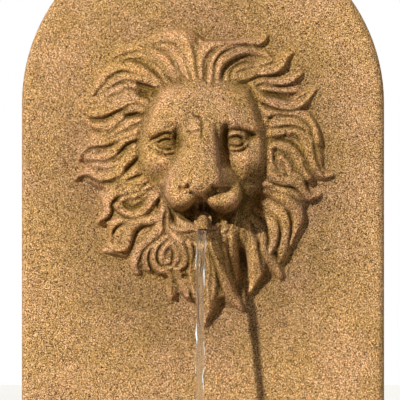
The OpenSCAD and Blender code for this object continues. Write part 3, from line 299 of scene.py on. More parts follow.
# dark lines between the locks: path, radius, depth
CREASES = [
    ([190,76, 186,66, 181.5,57, 176,49, 169,42], 1.2, 2.2),
    ([176,73, 172,62, 165,53, 158,49.5, 151,47], 1.2, 2.4),
    ([200,85, 197,72, 195,58, 192.5,46, 188,38], 1.4, 3.6),
    ([182,84, 177,76, 174.5,69], 1.3, 3.4),
    ([189,84, 183,76, 180,70], 1.2, 3),
    ([194,85, 191,78, 189,70], 1.2, 3),
    ([172,82, 166,76, 162,70, 154,62, 145,57], 1.6, 4),
    ([164,82, 158,76, 150,69, 140,63, 128,60, 116,63], 2, 4),
    ([142,51.5, 134,52, 126,55, 118,59], 1.1, 3),
    ([104,83, 107,79, 111,76, 115,73, 123,71, 132,73], 1.3, 4),
    ([110,89, 115,85, 122,83, 131,83], 1.2, 3.4),
    ([106,99, 111,96.5, 117,94, 125,91], 1.2, 3.4),
    ([134,82, 142,85, 149,87, 157,89.5], 2.2, 9.5),
    ([138,92, 143,94, 150,95], 4, 7),
    ([88,117, 96,119.5, 105,118, 113,113, 121,110.5, 132,108], 1.5, 5),
    ([122,114.5, 131,115.5, 141,113], 2.6, 6),
    ([87,125, 95,129.5, 105,127.5, 114,124], 1.2, 3),
    ([100,137, 109,133, 116,128.5, 121,123], 1.2, 3.6),
    ([98,142, 108,138.5, 118,134, 129,130, 141,126], 1.3, 3.6),
    ([79,160, 82,154, 86,150, 92,147.5, 100,147, 110,145.5, 120,141], 1.5, 5.5),
    ([141,139, 133,142, 127,144, 122,149, 117,155], 1.7, 6.5),
    ([133,145.5, 128,148.5, 124,153.5, 118,158.5, 109,162], 1.3, 4),
    ([138,157, 134,162.5, 129,166.5, 124,173], 1.8, 7.5),
    ([118,176, 111,180.5, 103,182.5, 96,181, 90,178, 84.5,176.5, 77,181], 1.6, 5),
    ([127,180.5, 135,177.5, 143,175], 1.5, 4.5),
    ([113,190, 122,184, 131,181], 1.2, 3),
    ([123,194, 116,198.5, 112.5,205, 113.5,211, 109,218, 98,223], 2.2, 7.5),
    ([138,190, 143,186.5, 148,182.5], 1.4, 5),
    ([135,199.5, 143,195, 151,189], 1.5, 4.5),
    ([121,202, 127,206, 133,207.5, 140,204.5, 146,199], 3, 5),
    ([117,211, 124,217, 134,219], 1.2, 4),
    ([125,223, 118,226.5, 113.5,232, 112,238], 1.5, 5.5),
    ([158,223, 150,225.5, 143,226.5, 137.5,231, 134,239, 131,247, 126,252.5, 108,252], 1.7, 5.5),
    ([166,210, 164,219, 163.5,230], 1.7, 8),
    ([158.5,198, 158,203, 157,210], 1.7, 7),
    ([159,234, 151,243, 144,249.5, 141,257, 141.5,268], 1.4, 3.5),
    ([152,246, 149,257, 152,269, 161,275, 171,273], 1.3, 4),
    ([167,242, 159.5,248, 157,257, 160,265, 168,266.5], 1.3, 4.5),
    ([171,248, 173,254, 171,261], 1.2, 4),
    ([173,250, 172.5,259, 170,267.5], 1.4, 5),
    ([182,238, 186,248, 188.5,256.5, 187,266, 178,274], 1.6, 5.5),
    ([181,276, 190,275], 2.6, 6),
    ([172,279, 172.5,289, 173,299], 1.7, 5),
    ([190,290, 194,302, 199,312], 2, 5),
    ([206.5,86, 206.5,72, 208,62, 212,54.5, 222,46], 1.2, 3.6),
    ([214,86, 214.5,72, 216,61.5, 221,53.5, 232,47.5], 1.2, 3.6),
    ([222,82, 223.5,71, 231,62.5, 240,58, 252,56], 2.2, 4.5),
    ([230,84, 230,74, 235,66.5, 244,62.5, 258,62], 1.7, 7),
    ([260,66.5, 270,63, 277,57], 1.2, 3),
    ([255,49, 261,47, 265.5,42], 1.6, 5),
    ([262,77, 274,75.5, 283,72, 288,65, 292,57.5, 299,53], 2.2, 7),
    ([272,86, 284,86.5, 294,83, 303,75], 1.5, 4.5),
    ([248,80, 258,77, 268,76], 1.2, 2.5),
    ([262,92, 276,96, 290,97, 302,91], 3.4, 6),
    ([256,99, 266,105.5, 277,109.5, 288,111, 300,109, 311,101], 1.5, 5),
    ([316,91, 317,98, 312,105, 303,110], 1.7, 5),
    ([269,129, 268,122, 271.5,117, 281,115, 291,116.5], 1.6, 6),
    ([276,128.5, 288,127, 300,128, 307,134], 1.2, 3),
    ([284,137, 287,131], 1.3, 4),
    ([290,133, 296,135, 300,141], 1.3, 4),
    ([267,149, 270.5,142.5, 277,140, 285,140.5, 292,143, 298,148, 303,158], 1.6, 6),
    ([313,141, 315,151, 317.5,161, 320.5,169, 326,176], 2.3, 9),
    ([303,160, 306,168, 310,176], 1.3, 4),
    ([273.5,153, 274.5,162, 279,170, 286,174], 1.8, 5.5),
    ([283,155, 288,159, 292,167], 1.6, 3.5),
    ([307,179, 315,181.5, 323,182, 334,177], 1.6, 5),
    ([306,180, 308,187, 312,195], 2.4, 7),
    ([271,182.5, 280,186, 292,187.5, 300,191], 1.3, 4),
    ([321,197, 311,202.5, 303,202, 297,198], 1.7, 5.5),
    ([303,203, 306,210, 305.5,218, 302,227, 296,238, 290,252], 2, 6),
    ([287,209, 291,219, 291,232, 288,247], 1.6, 5.5),
    ([277,217, 280,228, 279,241, 274,252], 1.3, 4.5),
    ([262,226, 268,236, 268,247], 1.3, 4),
    ([274,250, 278,257, 282,265], 2.4, 6),
    ([258,238, 259,250, 262,262, 263,272], 1.8, 5.5),
    ([240,246, 241.5,257, 243,270, 245,284], 2.6, 9.5),
    ([222,238, 227,250, 230,262, 234,276, 238,290], 1.4, 3),
    ([209,248, 213,260, 217,273, 220,286, 223,297], 1.5, 3.5),
    ([224,298, 218,307, 212,315, 205,323], 2, 4.5),
    ([201,244, 203,256, 200,268, 203,282, 206,300], 1.2, 2.5),
    ([219,250, 223,262, 228,275, 232,286], 1, 2),
    ([191,240, 195,252, 192,266, 194,280, 198,294], 1.4, 3.5),
]

# hollows in the mane's general form: middle, half width, half height, lift, turn
HOLLOWS = [(260, 207, 18, 21, -13), (263, 196, 13, 12, -8), (269, 208, 13, 15, -8), (176, 291, 12, 13, -5),
           (242, 265, 8.5, 30, -14, 6), (132, 263, 42, 22, -4.5, 8), (302, 232, 20, 36, -7, 12),
           (306, 97, 18, 17, -3.5), (319, 186, 17, 20, -2.5), (264, 283, 20, 17, -7), (152, 279, 24, 12, -6)]

# large forms of the face: domes as above, and strokes with a path, radius, height and how much fades
FACE_FORMS = [
    # forehead halves, brows and cheeks
    (178, 106, 19, 17, 3),
    (226, 106, 19, 17, 3),
    ([143,140, 148,133, 156,128, 166,124, 177,120, 188,119], 7, 2.5, 0.25),
    ([215,119, 228,122, 241,123, 252,127, 262,136], 6.5, 3, 0.25),
    (152, 132, 6, 6, 2.5),
    (159, 162, 11, 8, 6, 10),
    (247, 163, 17, 11, 6, -5),
    (153, 181, 12, 9, -5, 25),
    (255, 187, 13, 9, -6, -25),
    # eye sockets
    (165, 143.5, 14, 8, -5, -6),
    (239, 141.5, 13, 8, -5.5, 3),
    (177, 138, 5.5, 13, -5.5),
    (227, 139, 5.5, 14, -9, -6),
    (231, 162, 8, 17, -10, -15),
]

# fine forms of the face, in the same way. Two domes have a power too.
FINE_FORMS = [
    # lower lip
    ([161,204, 164,217, 169.5,225.5, 176,229.5, 185,230.5, 193,229, 201,232, 212,233], 2,
     (5, 11, 11, 8, 6, 3), 0.12),
    ([212,233, 223,231, 231,226.5, 236,219.5, 238.5,211], 2.4, (2, 3, 5, 4), 0.12),
    (225, 226, 11, 7, -6),
    ([219,217, 221,226, 219,237], 1.5, -5, 0.2),
    ([229,216, 229.5,226, 227,238], 1.6, -5, 0.2),
    # nostrils, edge of the nose, groove under it
    ([178,187, 183,188.8, 187,188.5], 1.5, -4),
    ([189,191.5, 194,195, 199,198, 202,199], 1.5, -5),
    ([233,186.5, 226,188.4, 218,187.8, 210.5,191.5, 203,198], 1.8, (-2, -6, -9, -9)),
    (188.2, 186.8, 1.8, 2.6, -9),
    (213, 187.5, 2, 2.4, -8),
    ([201,196, 201,204, 201,212], 2.6, -13),
    # forehead
    ([195,115, 199.5,117.5, 202,124, 202,133, 201.5,142], 1.4, (-2.5, -4, -4, -1.5), 0.2),
    ([185,130.5, 191,132.5, 197,131, 202,130.5], 1.3, (-1, -3, -3.5, -3)),
    ([193,114.5, 197,117.5, 201.5,118.5], 1.3, -3),
    # left eye
    (166, 144.6, 8.5, 5.4, 5, -6, 3),
    ([149.5,141, 154,138.6, 160,135.4, 167,133.4, 174,135], 1.4, -4.8),
    ([163,130, 169,127, 175,124], 2.2, -1.4, 0.3),
    ([151,141.8, 157,140.6, 163,137.8, 169,137, 174,140, 178.5,144.5], 1.2, 3.6),
    ([157,143, 162,140.6, 168,139.4, 173.5,142.4], 0.95, -4),
    ([153,144.5, 156,147.5, 161,150.8, 167,152.2, 174,151, 178.5,147.5], 1.3, 3.4),
    ([157,145.6, 161,148.6, 167,150, 173,148.6], 0.95, -4),
    ([156,151.5, 162,154.8, 169,155.6, 175,153.5], 1.6, -4),
    (176.5, 139, 2.4, 9, -4.5),
    # right eye
    (236, 142.2, 8.5, 5.2, 5, 0, 3),
    ([225,132, 232,130, 240,130, 249,133, 257,137], 1.8, -4.5, 0.2),
    ([226,138, 231,134.8, 237,133.6, 243,135.8, 248.5,140], 1.3, 3.6),
    ([229,139.6, 234,137.4, 239,137.4, 244,140.6], 0.95, -4),
    ([227.5,147, 232,149.6, 239,149, 245.5,145.3, 249,141], 1.3, 3),
    ([229.5,144.4, 235,146.8, 241,145.8, 245,142.4], 0.95, -4),
    (251.5, 136.5, 5.5, 4, -6),
    ([229,121, 226,129, 225.5,139, 227,149, 231,160], 3.2, -5, 0.2),
    ([232,151.5, 240,151.5, 247,148], 1.5, -4),
    # lower edge of the right cheek, folds beside the muzzle
    ([240,180, 250,183, 260,180, 266,173], 5.5, -3, 0.25),
    ([153,191, 160,196, 166,201.5, 170,208, 173,216, 175.5,226], 2.1, -12),
    ([250,194, 245,203, 241.5,214, 239.5,226], 2.6, -9),
]


def general_form():
    """Height of the mane's general form over the panel."""
    reach = oval(HEAD_X, 176, 129, 149)
    form = np.interp(reach, [0.3, 0.45, 0.6, 0.72, 0.85, 1, 1.15], [38, 33, 26, 19, 12.5, 6.5, 5])
    beard = np.interp(GY, [225, 236, 251, 276, 300, 325], [18, 18, 13, 6, 3, 0])
    beard = beard * ease(1.25 - np.abs(GX - 204) / np.where(GX > 204, 45, 40))
    form = form + beard - 3 * ease((64 - GY) / 20)
    add_forms(form, HOLLOWS)
    return form


def lay_lock(mane, form, path, widths, lifts, rng):
    """Lays a lock of hair: a ridge that leans away from the light, with combed strands."""
    window, t, dist, away = near(path, max(widths) + 10)
    half = np.maximum(along(t, widths), 0.7)
    side = dist / half
    lean = 0.42 * away
    slope = np.where(side > lean, (side - lean) / (1 - lean), (lean - side) / (1 + lean))
    top = form[window] + 0.7 * along(t, lifts)
    drop = 2.9 * np.minimum(1, half / 4)
    height = top - drop * np.minimum(slope, 1) ** 1.9 - 1.6 * np.maximum(np.abs(dist) - half, 0)
    combed = fade(t, 0.2, 0.2) * np.clip((half - 1.6) / 2, 0, 1)
    for strand in (-0.52, -0.12, 0.3):
        line = strand + rng.uniform(-0.1, 0.1) + 0.12 * np.sin(rng.uniform(0, 6.3) + t * rng.uniform(3, 6))
        height = height - rng.uniform(0.5, 1) * combed * np.exp(-((side - line) * half / 0.9) ** 2)
    mane[window] = blend(mane[window], height, 0.7)


def mane_height(form, rim):
    """Height of the mane, with its locks and the dark lines between them."""
    rng = np.random.default_rng(11)
    mane = (form - 2.5) * ease((rim + 0.5) / 8)
    for path, widths, lifts in LOCKS:
        lay_lock(mane, form, path, widths, lifts, rng)
    mane = mane * ease((rim + 3) / 3.5)
    for path, radius, depth in CREASES:
        crease(mane, path, 0.85 * radius, 0.5 * depth)
    return blur(np.maximum(mane, 0), 0.5)


def groove_shade():
    """Painted shade along the grooves of the mane, from 0 to 1."""
    out = np.zeros_like(GX)
    for path, radius, depth in CREASES:
        window, t, dist, _ = near(path, radius + 4)
        line = min(depth / 4, 1) * np.exp(-(dist / (0.8 * radius + 0.6)) ** 2)
        out[window] = np.maximum(out[window], line * ease(t / 0.12) * ease((1 - t) / 0.12))
    return out


def face_height():
    """Height of the face. The lists give a level, a half width or an edge, row by row from the top."""
    rows = [83, 95, 110, 125, 140, 155, 170, 185, 200, 215, 222, 229, 237, 246]
    middle = np.interp(GY, rows, [41, 48, 52, 54, 53, 52, 50, 48, 47, 44, 45, 52, 53, 46])
    half = np.interp(GY, rows, [44, 54, 60, 63, 65, 66, 64, 58, 50, 42, 38, 36, 32, 26])
    side = np.clip(np.abs(GX - HEAD_X) / half, 0, 1.3)
    face = blur(middle * (1 - 0.36 * side ** 2.6), 3)
    add_forms(face, FACE_FORMS)

    # open mouth
    side = np.abs(GX - 206)
    reach = ((side / 30) ** 2.4 + np.abs((GY - 214 + 0.1 * side) / 10) ** 2.4) ** (1 / 2.4)
    face = -blend(-face, -36 - 50 * np.maximum(reach - 1, 0), 2)

    # nose, gentle on its left and steep on its right
    nose_x = 200.8
    rows = [104, 114, 124, 134, 146, 160, 170, 177, 184, 190, 195, 199, 204]
    crest = np.interp(GY, rows, [40, 50, 59, 65, 71, 77, 82, 86, 87, 84, 79, 72, 52])
    left = np.interp(GY, rows, [24, 20, 16, 13.5, 14.5, 17, 19, 20.5, 21, 19, 13, 8, 6])
    right = np.interp(GY, rows, [24, 21, 18, 17.5, 19, 20.5, 21.8, 22.5, 22.5, 20, 13, 8, 6])
    u = (GX - nose_x) / np.where(GX < nose_x, left, right)
    nose = crest - np.where(u < 0, 15 * np.abs(u / 1.2) ** 2.2, 5 * np.abs(u) ** 2 + 20 * np.abs(u) ** 9)
    face = blend(face, blur(nose, 1.4), 6)

    # right side of the muzzle, which slopes from the nose to the cheek
    rows = [148, 156, 164, 172, 180, 188, 193, 197]
    crown = np.interp(GY, rows, [36, 52, 67, 77, 81, 80, 72, 20])
    fall = np.interp(GY, rows, [3, 2.7, 2.3, 2, 1.8, 1.6, 1.5, 1.5])
    wall = np.where(GX > 214, crown - fall * np.maximum(GX - 218.5, 0), 0)
    face = blend(face, blur(wall, 1.2), 4)

    # muzzle pads, boxy, running up into the cheeks
    foot = 38
    rows = [140, 150, 160, 170, 180, 188, 194, 200, 206, 213]
    left_top = np.interp(GY, rows, [44, 50, 57, 64, 70, 75, 77, 77, 76, 72])
    right_top = np.interp(GY, rows, [38, 38, 38, 39, 45, 58, 71, 77, 76, 72])
    rows = [140, 150, 160, 170, 180, 192]
    left_edge = np.interp(GY, rows, [190, 181, 174, 168.5, 165, 164])
    right_edge = np.interp(GY, rows, [217, 225, 232, 236, 239.5, 242])
    left_drop = np.interp(GX, [165, 172, 182, 190, 196, 202], [9, 14.5, 18, 13.5, 6.5, 3])
    right_drop = np.interp(GX, [203, 208, 216, 226, 236, 242], [5, 10.5, 15.5, 17, 13, 7])
    pads = ((left_edge, 202, 194.5, left_drop, 3.2, left_top),
            (204, right_edge, 197, right_drop, 3.4, right_top))
    for start, end, level, drop, bulge, top in pads:
        u = np.abs((GX - (start + end) / 2) / ((end - start) / 2))
        v = np.maximum(GY - level, 0) / drop
        reach = (u ** bulge + v ** 2.4) ** (1 / 2.8)
        rise = np.maximum(0, 1 - np.minimum(reach, 1) ** 4.4) ** 0.45
        pad = foot + (top - foot) * rise - 110 * np.maximum(reach - 1, 0)
        face = blend(face, pad, 4)

    add_forms(face, FINE_FORMS)
    return blur(face, 0.5)


def mask_height(rim):
    """Height of the whole mask: the face, let into the mane."""
    form = general_form()
    mane = mane_height(form, rim)
    depth = inside(FACE)
    low = np.maximum(form - 4, 18)
    face = low + (face_height() - low) * ease((depth + 3) / 13)
    share = ease((depth + 3.5) / 6)
    top = ease((112 - GY) / 22)
    share = share * (1 - top) + ease((depth + 7) / 11) * top
    return blur(share * face + (1 - share) * mane, 0.35)


# Camera. The frame of the photo is 400 mm wide at the panel.
EYE = Vector((-0.003, -1.7, 0.791))
PANEL_Y = 0.1
REACH = PANEL_Y - EYE.y
FRAME = 400
SENSOR = 36


def add_object(name, data):
    """A new object in the scene."""
    obj = bpy.data.objects.new(name, data)
    bpy.context.scene.collection.objects.link(obj)
    return obj


def add_camera():
    """The camera, square to the panel."""
    data = bpy.data.cameras.new("camera")
    data.sensor_width = SENSOR
    data.lens = SENSOR * REACH / (FRAME / 1000)
    cam = add_object("camera", data)
    cam.location = EYE
    cam.rotation_euler = (math.pi / 2, 0, 0)
    bpy.context.scene.camera = cam


def place(px, py, depth):
    """The point that shows at a place of the frame, at a depth in millimetres in front of the panel."""
    scale = 0.001 * (1 - depth / (REACH * 1000))
    x = EYE.x + (px - FRAME / 2) * scale
    y = PANEL_Y - depth / 1000
    z = EYE.z + (FRAME / 2 - py) * scale
    return np.stack([x, y, z], -1)


# Materials

def linear(rgb):
    """A colour with values up to 255, as the linear colour that a material takes."""
    c = np.array(rgb, float) / 255
    return tuple(np.where(c <= 0.04045, c / 12.92, ((c + 0.055) / 1.055) ** 2.4)) + (1.0,)


class Tree:
    """Builds the node tree of a material or of the world."""

    def __init__(self, owner):
        owner.use_nodes = True
        self.tree = owner.node_tree

    def put(self, node, inputs):
        """Sets inputs of a node, or links them to outputs."""
        for key, value in inputs.items():
            if isinstance(value, bpy.types.NodeSocket):
                self.tree.links.new(value, node.inputs[key])
            else:
                node.inputs[key].default_value = value

    def add(self, kind, inputs=None, **values):
        """A new node with these inputs and settings."""
        node = self.tree.nodes.new(kind)
        for key, value in values.items():
            setattr(node, key, value)
        self.put(node, inputs or {})
        return node

    def math(self, kind, a, b, clamp=False):
        return self.add("ShaderNodeMath", {0: a, 1: b}, operation=kind, use_clamp=clamp).outputs[0]


class Nodes(Tree):
    """Builds the node tree of one material."""

    def __init__(self, name):
        self.mat = bpy.data.materials.new(name)
        super().__init__(self.mat)
        self.bsdf = self.tree.nodes["Principled BSDF"]
        self.where = self.add("ShaderNodeTexCoord").outputs["Object"]

    def noise(self, scale, detail=2, rough=0.5, where=None):
        inputs = {"Vector": where or self.where, "Scale": scale, "Detail": detail, "Roughness": rough}
        return self.add("ShaderNodeTexNoise", inputs).outputs["Fac"]

    def cells(self, scale):
        return self.add("ShaderNodeTexVoronoi", {"Vector": self.where, "Scale": scale})

    def ramp(self, value, *stops):
        n = self.add("ShaderNodeValToRGB", {"Fac": value})
        points = n.color_ramp.elements
        while len(points) < len(stops):
            points.new(0.5)
        for point, (at, colour) in zip(points, stops):
            point.position = at
            point.color = colour + (1.0,)
        return n.outputs["Color"]

    def grey(self, value, *stops):
        """A ramp from grey to grey."""
        return self.ramp(value, *[(at, (v, v, v)) for at, v in stops])

    def mix(self, fac, a, b, kind="MIX"):
        inputs = {"Factor": fac, 6: a, 7: b}
        return self.add("ShaderNodeMix", inputs, data_type="RGBA", blend_type=kind).outputs[2]

    def times(self, a, b):
        return self.mix(1, a, b, "MULTIPLY")

    def attribute(self, name):
        return self.add("ShaderNodeAttribute", attribute_name=name).outputs["Fac"]

    def bump(self, height, distance, strength, after=None):
        n = self.add("ShaderNodeBump", {"Distance": distance, "Strength": strength, "Height": height})
        if after:
            self.put(n, {"Normal": after})
        return n.outputs["Normal"]

    def finish(self, colour, rough, **values):
        self.put(self.bsdf, {"Base Color": colour, "Roughness": rough})
        self.put(self.bsdf, {key.replace("_", " "): value for key, value in values.items()})
        return self.mat


# middle and half size of the mask on the panel, across and up
MASK_X, MASK_Z = 0.004, 0.807
MASK_WIDE, MASK_HIGH = 0.127, 0.156
# how many grains, fine grains and pits lie along a metre
GRAINS = 1500
FINE_GRAINS = 2300
PITS = 640


def shade_round_mask(m, carved):
    """Painted shade on the coat round the mask: darker near the mask's middle, paler further out."""
    shrink = (1 / MASK_WIDE, 0, 1 / MASK_HIGH)
    shift = (-MASK_X / MASK_WIDE, 0, -MASK_Z / MASK_HIGH)
    spot = m.add("ShaderNodeVectorMath", {0: m.where, 1: shrink, 2: shift}, operation="MULTIPLY_ADD")
    reach = m.add("ShaderNodeVectorMath", {0: spot.outputs[0]}, operation="LENGTH")
    half = m.math("MULTIPLY", reach.outputs["Value"], 0.5)
    shade = m.grey(half, (0.47, 0.8), (0.55, 0.93), (0.62, 1.06), (0.72, 1.18))
    if carved:
        shade = m.mix(m.attribute("proud"), shade, (0.98, 0.98, 0.98, 1))
    return shade


def sandstone(name, base=(182, 141, 83), carved=False, halo_shade=False):
    """Cast resin with a coat of sand: light and dark grains, fine pits, and where asked painted shade and
    painted highlights.
    """
    m = Nodes(name)
    tone = m.noise(9, 3, 0.6)
    patch = m.noise(48, 3, 0.6)
    warm = m.noise(23)
    colour = m.mix(m.grey(warm, (0.36, 0), (0.64, 1)), linear(base), linear((191, 147, 96)))
    colour = m.times(colour, m.grey(tone, (0.3, 0.94), (0.7, 1.04)))
    colour = m.times(colour, m.grey(patch, (0.3, 0.9), (0.7, 1.08)))
    # painted shade on the coat round the mask, paler further out
    if halo_shade:
        colour = m.times(colour, shade_round_mask(m, carved))
    grain = m.cells(GRAINS)
    pick = m.add("ShaderNodeSeparateColor", {0: grain.outputs["Color"]})
    speck = m.ramp(pick.outputs[0], (0, (0.04, 0.02, 0.01)), (0.2, (0.17, 0.12, 0.08)),
                   (0.31, (0.76, 0.72, 0.66)), (0.5, (1, 1, 0.98)), (0.74, (1.22, 1.24, 1.3)),
                   (0.88, (1.65, 1.8, 2.3)), (1, (2.3, 2.6, 4.2)))
    colour = m.times(colour, speck)
    fine = m.noise(FINE_GRAINS, 1, 0.7)
    colour = m.times(colour, m.grey(fine, (0.32, 0.3), (0.5, 1), (0.68, 1.6)))
    pits = m.noise(PITS, 1, 0.6)
    colour = m.times(colour, m.grey(pits, (0.27, 0.6), (0.36, 0.95), (0.5, 1)))
    if carved:
        # painted shade: hollows, grooves and shadowed spots darkened with an olive tint
        colour = m.mix(m.attribute("hollow_shade"), colour, m.times(colour, linear((162, 158, 108))))
        # painted highlight: crests and lit patches made paler and pinker
        painted_highlight = m.math("MULTIPLY", m.attribute("crest"), 0.8, True)
        colour = m.mix(painted_highlight, colour, m.times(colour, (1.36, 1.28, 1.46, 1)))
    bumpy = m.math("ADD", m.math("MULTIPLY", grain.outputs["Distance"], -0.5), m.math("MULTIPLY", fine, 0.9))
    normal = m.bump(pits, 0.0016, 0.55, m.bump(bumpy, 0.0011, 0.6))
    return m.finish(colour, 0.93, Normal=normal, Specular_IOR_Level=0.18)


def moulded(name, rgb, rough, grain=900, spread=0.12, depth=0.00008, metallic=0):
    """Plain moulded or coated stuff with a fine texture, small changes of tone and rubbed spots."""
    m = Nodes(name)
    cloud = m.grey(m.noise(60, 4, 0.6), (0.3, 1 - spread), (0.7, 1 + spread))
    dust = m.grey(m.noise(14, 5, 0.7), (0.48, 0), (0.75, 0.16))
    colour = m.mix(dust, m.times(linear(rgb), cloud), linear((150, 138, 118)))
    shine = m.grey(m.noise(120, 3, 0.6), (0.3, max(rough - 0.1, 0.04)), (0.7, min(rough + 0.12, 1)))
    return m.finish(colour, shine, Normal=m.bump(m.noise(grain), depth, 0.6), Metallic=metallic)


def brushed(name, rgb, rough=0.34):
    """Turned or rolled metal with fine lines and a little dulling."""
    m = Nodes(name)
    stretched = m.add("ShaderNodeMapping", {"Vector": m.where, "Scale": (90, 90, 2600)})
    lines = m.noise(1, 2, 0.6, stretched.outputs["Vector"])
    colour = m.times(linear(rgb), m.grey(lines, (0.3, 0.86), (0.7, 1.08)))
    dull = m.noise(70, 4, 0.65)
    colour = m.mix(m.grey(dull, (0.5, 0), (0.8, 0.35)), colour, linear((110, 98, 82)))
    shine = m.grey(dull, (0.3, rough - 0.08), (0.75, rough + 0.22))
    return m.finish(colour, shine, Normal=m.bump(lines, 0.00006, 0.5), Metallic=1)


def foam(name, rgb):
    """Open-cell filter foam."""
    m = Nodes(name)
    pores = m.cells(900).outputs["Distance"]
    colour = m.times(linear(rgb), m.grey(pores, (0.1, 0.35), (0.5, 1.35)))
    return m.finish(colour, 0.95, Normal=m.bump(pores, 0.0008, 0.9))


def vinyl(name):
    """Clear flexible hose, slightly hazy."""
    m = Nodes(name)
    haze = m.noise(90, 3, 0.6)
    colour = m.ramp(haze, (0.3, (0.8, 0.85, 0.84)), (0.7, (0.93, 0.95, 0.93)))
    shine = m.grey(haze, (0.3, 0.12), (0.7, 0.28))
    return m.finish(colour, shine, Normal=m.bump(haze, 0.0003, 0.3), Transmission_Weight=0.8, IOR=1.45)


def water(name, lamps_through):
    """Clear water. Lamps shine through a broad surface, and a thin jet shades what is behind it."""
    m = Nodes(name)
    colour = m.ramp(m.noise(60), (0.3, (0.93, 0.96, 0.96)), (0.7, (0.98, 0.99, 1)))
    ripple = m.bump(m.noise(130), 0.0006, 0.25)
    if lamps_through:
        clear = m.add("ShaderNodeBsdfTransparent", {"Color": (0.86, 0.9, 0.88, 1)}).outputs[0]
        shadow = m.add("ShaderNodeLightPath").outputs["Is Shadow Ray"]
        both = m.add("ShaderNodeMixShader", {0: shadow, 1: m.bsdf.outputs[0], 2: clear})
        m.put(m.tree.nodes["Material Output"], {"Surface": both.outputs[0]})
    return m.finish(colour, 0.02, Normal=ripple, Transmission_Weight=1, IOR=1.333)


# moulded finishes: colour, roughness, and the other values of moulded
MOULDED = {
    "cover_resin": ((150, 128, 96), 0.7, 700, 0.1, 0.0002),
    "black_plastic": ((42, 42, 44), 0.42),
    "screen_plastic": ((98, 86, 68), 0.6),
    "rubber": ((40, 39, 38), 0.78, 1200, 0.15, 0.00012),
    "red_rubber": ((128, 52, 40), 0.72, 1200, 0.15, 0.00012),
    "white_plastic": ((224, 225, 226), 0.3, 1000, 0.04),
    "ferrite": ((72, 72, 76), 0.55, 1500, 0.2, 0.0001, 0.6),
    "ceramic_white": ((236, 235, 230), 0.15, 1500, 0.03, 0.00002),
    "red_plastic": ((176, 48, 38), 0.32, 1000, 0.06),
}
FINISHES = {slot: moulded(slot, *values) for slot, values in MOULDED.items()}
FINISHES.update({
    "sandstone": sandstone("sand_coat"),
    "spout_metal": sandstone("spout_coat", (168, 128, 72)),
    "steel": brushed("steel", (198, 198, 200)),
    "brass": brushed("brass", (205, 168, 92), 0.3),
    "clear_vinyl": vinyl("clear_vinyl"),
    "foam": foam("foam", (62, 92, 128)),
})
# the panel's coat carries painted shade round the mask
PANEL_COAT = sandstone("sand_coat_panel", halo_shade=True)


def dress_nodes():
    """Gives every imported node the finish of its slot."""
    slots = {s["node"]: s["material_slot"] for s in frame["record"]["subparts"]}
    for name, obj in frame["nodes"].items():
        mat = PANEL_COAT if name == "back_panel" else FINISHES[slots[name]]
        if not obj.material_slots:
            obj.data.materials.append(mat)
        for holder in obj.material_slots:
            holder.material = mat


# Building pieces

def new_piece(name, points, faces, mat, smooth=True):
    """A new object with one mesh and one material."""
    mesh = bpy.data.meshes.new(name)
    mesh.from_pydata([tuple(p) for p in points], [], faces)
    mesh.validate()
    mesh.update()
    obj = add_object(name, mesh)
    mesh.materials.append(mat)
    if smooth:
        mesh.polygons.foreach_set("use_smooth", [True] * len(mesh.polygons))
    return obj


# patches of painted shade, and patches of painted highlight: middle, half width, half height, share
PAINTED_SHADE_SPOTS = [(170, 141, 14, 11, 0.7), (236, 142, 15, 9, 0.6), (226, 141, 5, 15, 0.8), (250, 136, 8, 6, 0.6),
         (229, 168, 9, 18, 0.05), (206, 214, 30, 9, 0.8), (252, 206, 16, 20, 0.65), (146, 92, 13, 7, 0.8),
         (134, 114, 13, 5, 0.6), (202, 129, 4, 13, 0.35), (256, 172, 14, 10, 0.42), (180, 210, 13, 7, 0.5),
         (222, 210, 15, 7, 0.45), (170, 218, 8, 12, 0.4), (196, 102, 30, 15, 0.12), (236, 222, 10, 12, 0.25),
         (174, 80, 14, 6, 0.35), (270, 94, 22, 4, 0.4), (160, 178, 10, 6, 0.25), (128, 205, 12, 5, 0.3)]
PAINTED_LIGHT_SPOTS = [(157, 164, 14, 11, 0.7), (180, 194, 14, 9, 0.4), (172, 52, 24, 9, 0.4), (132, 72, 18, 7, 0.4),
            (118, 130, 24, 9, 0.3), (110, 160, 18, 6, 0.3), (112, 228, 18, 8, 0.3)]


def patched(patches):
    """How strongly soft oval patches cover the grid, from 0 to 1."""
    field = np.zeros_like(GX)
    for x, y, wide, high, share in patches:
        field = np.maximum(field, share * ease(1.35 - oval(x, y, wide, high)))
    return field


def tones(height):
    """Painted shade in the mask's hollows and grooves, painted highlight on its crests, and where it is
    proud of the panel, from 0 to 1.
    """
    deep = blur(height, 4.5) - height
    fine = blur(height, 1.6) - height
    shade_spots = patched(PAINTED_SHADE_SPOTS)
    # painted shade in hollows, along grooves and in spots where shade falls
    hollow_shade = 0.52 * np.clip(deep / 4 + fine / 1.6, 0, 1) + shade_spots + 0.5 * groove_shade()
    # painted highlight on crests and on lit patches
    crest = np.clip(-deep / 5 - fine / 1.3, 0, 1) * (1 - shade_spots) + patched(PAINTED_LIGHT_SPOTS)
    return {"hollow_shade": np.clip(hollow_shade, 0, 1) * ease(height / 9), "crest": np.clip(crest, 0, 1),
            "proud": ease(height / 4)}


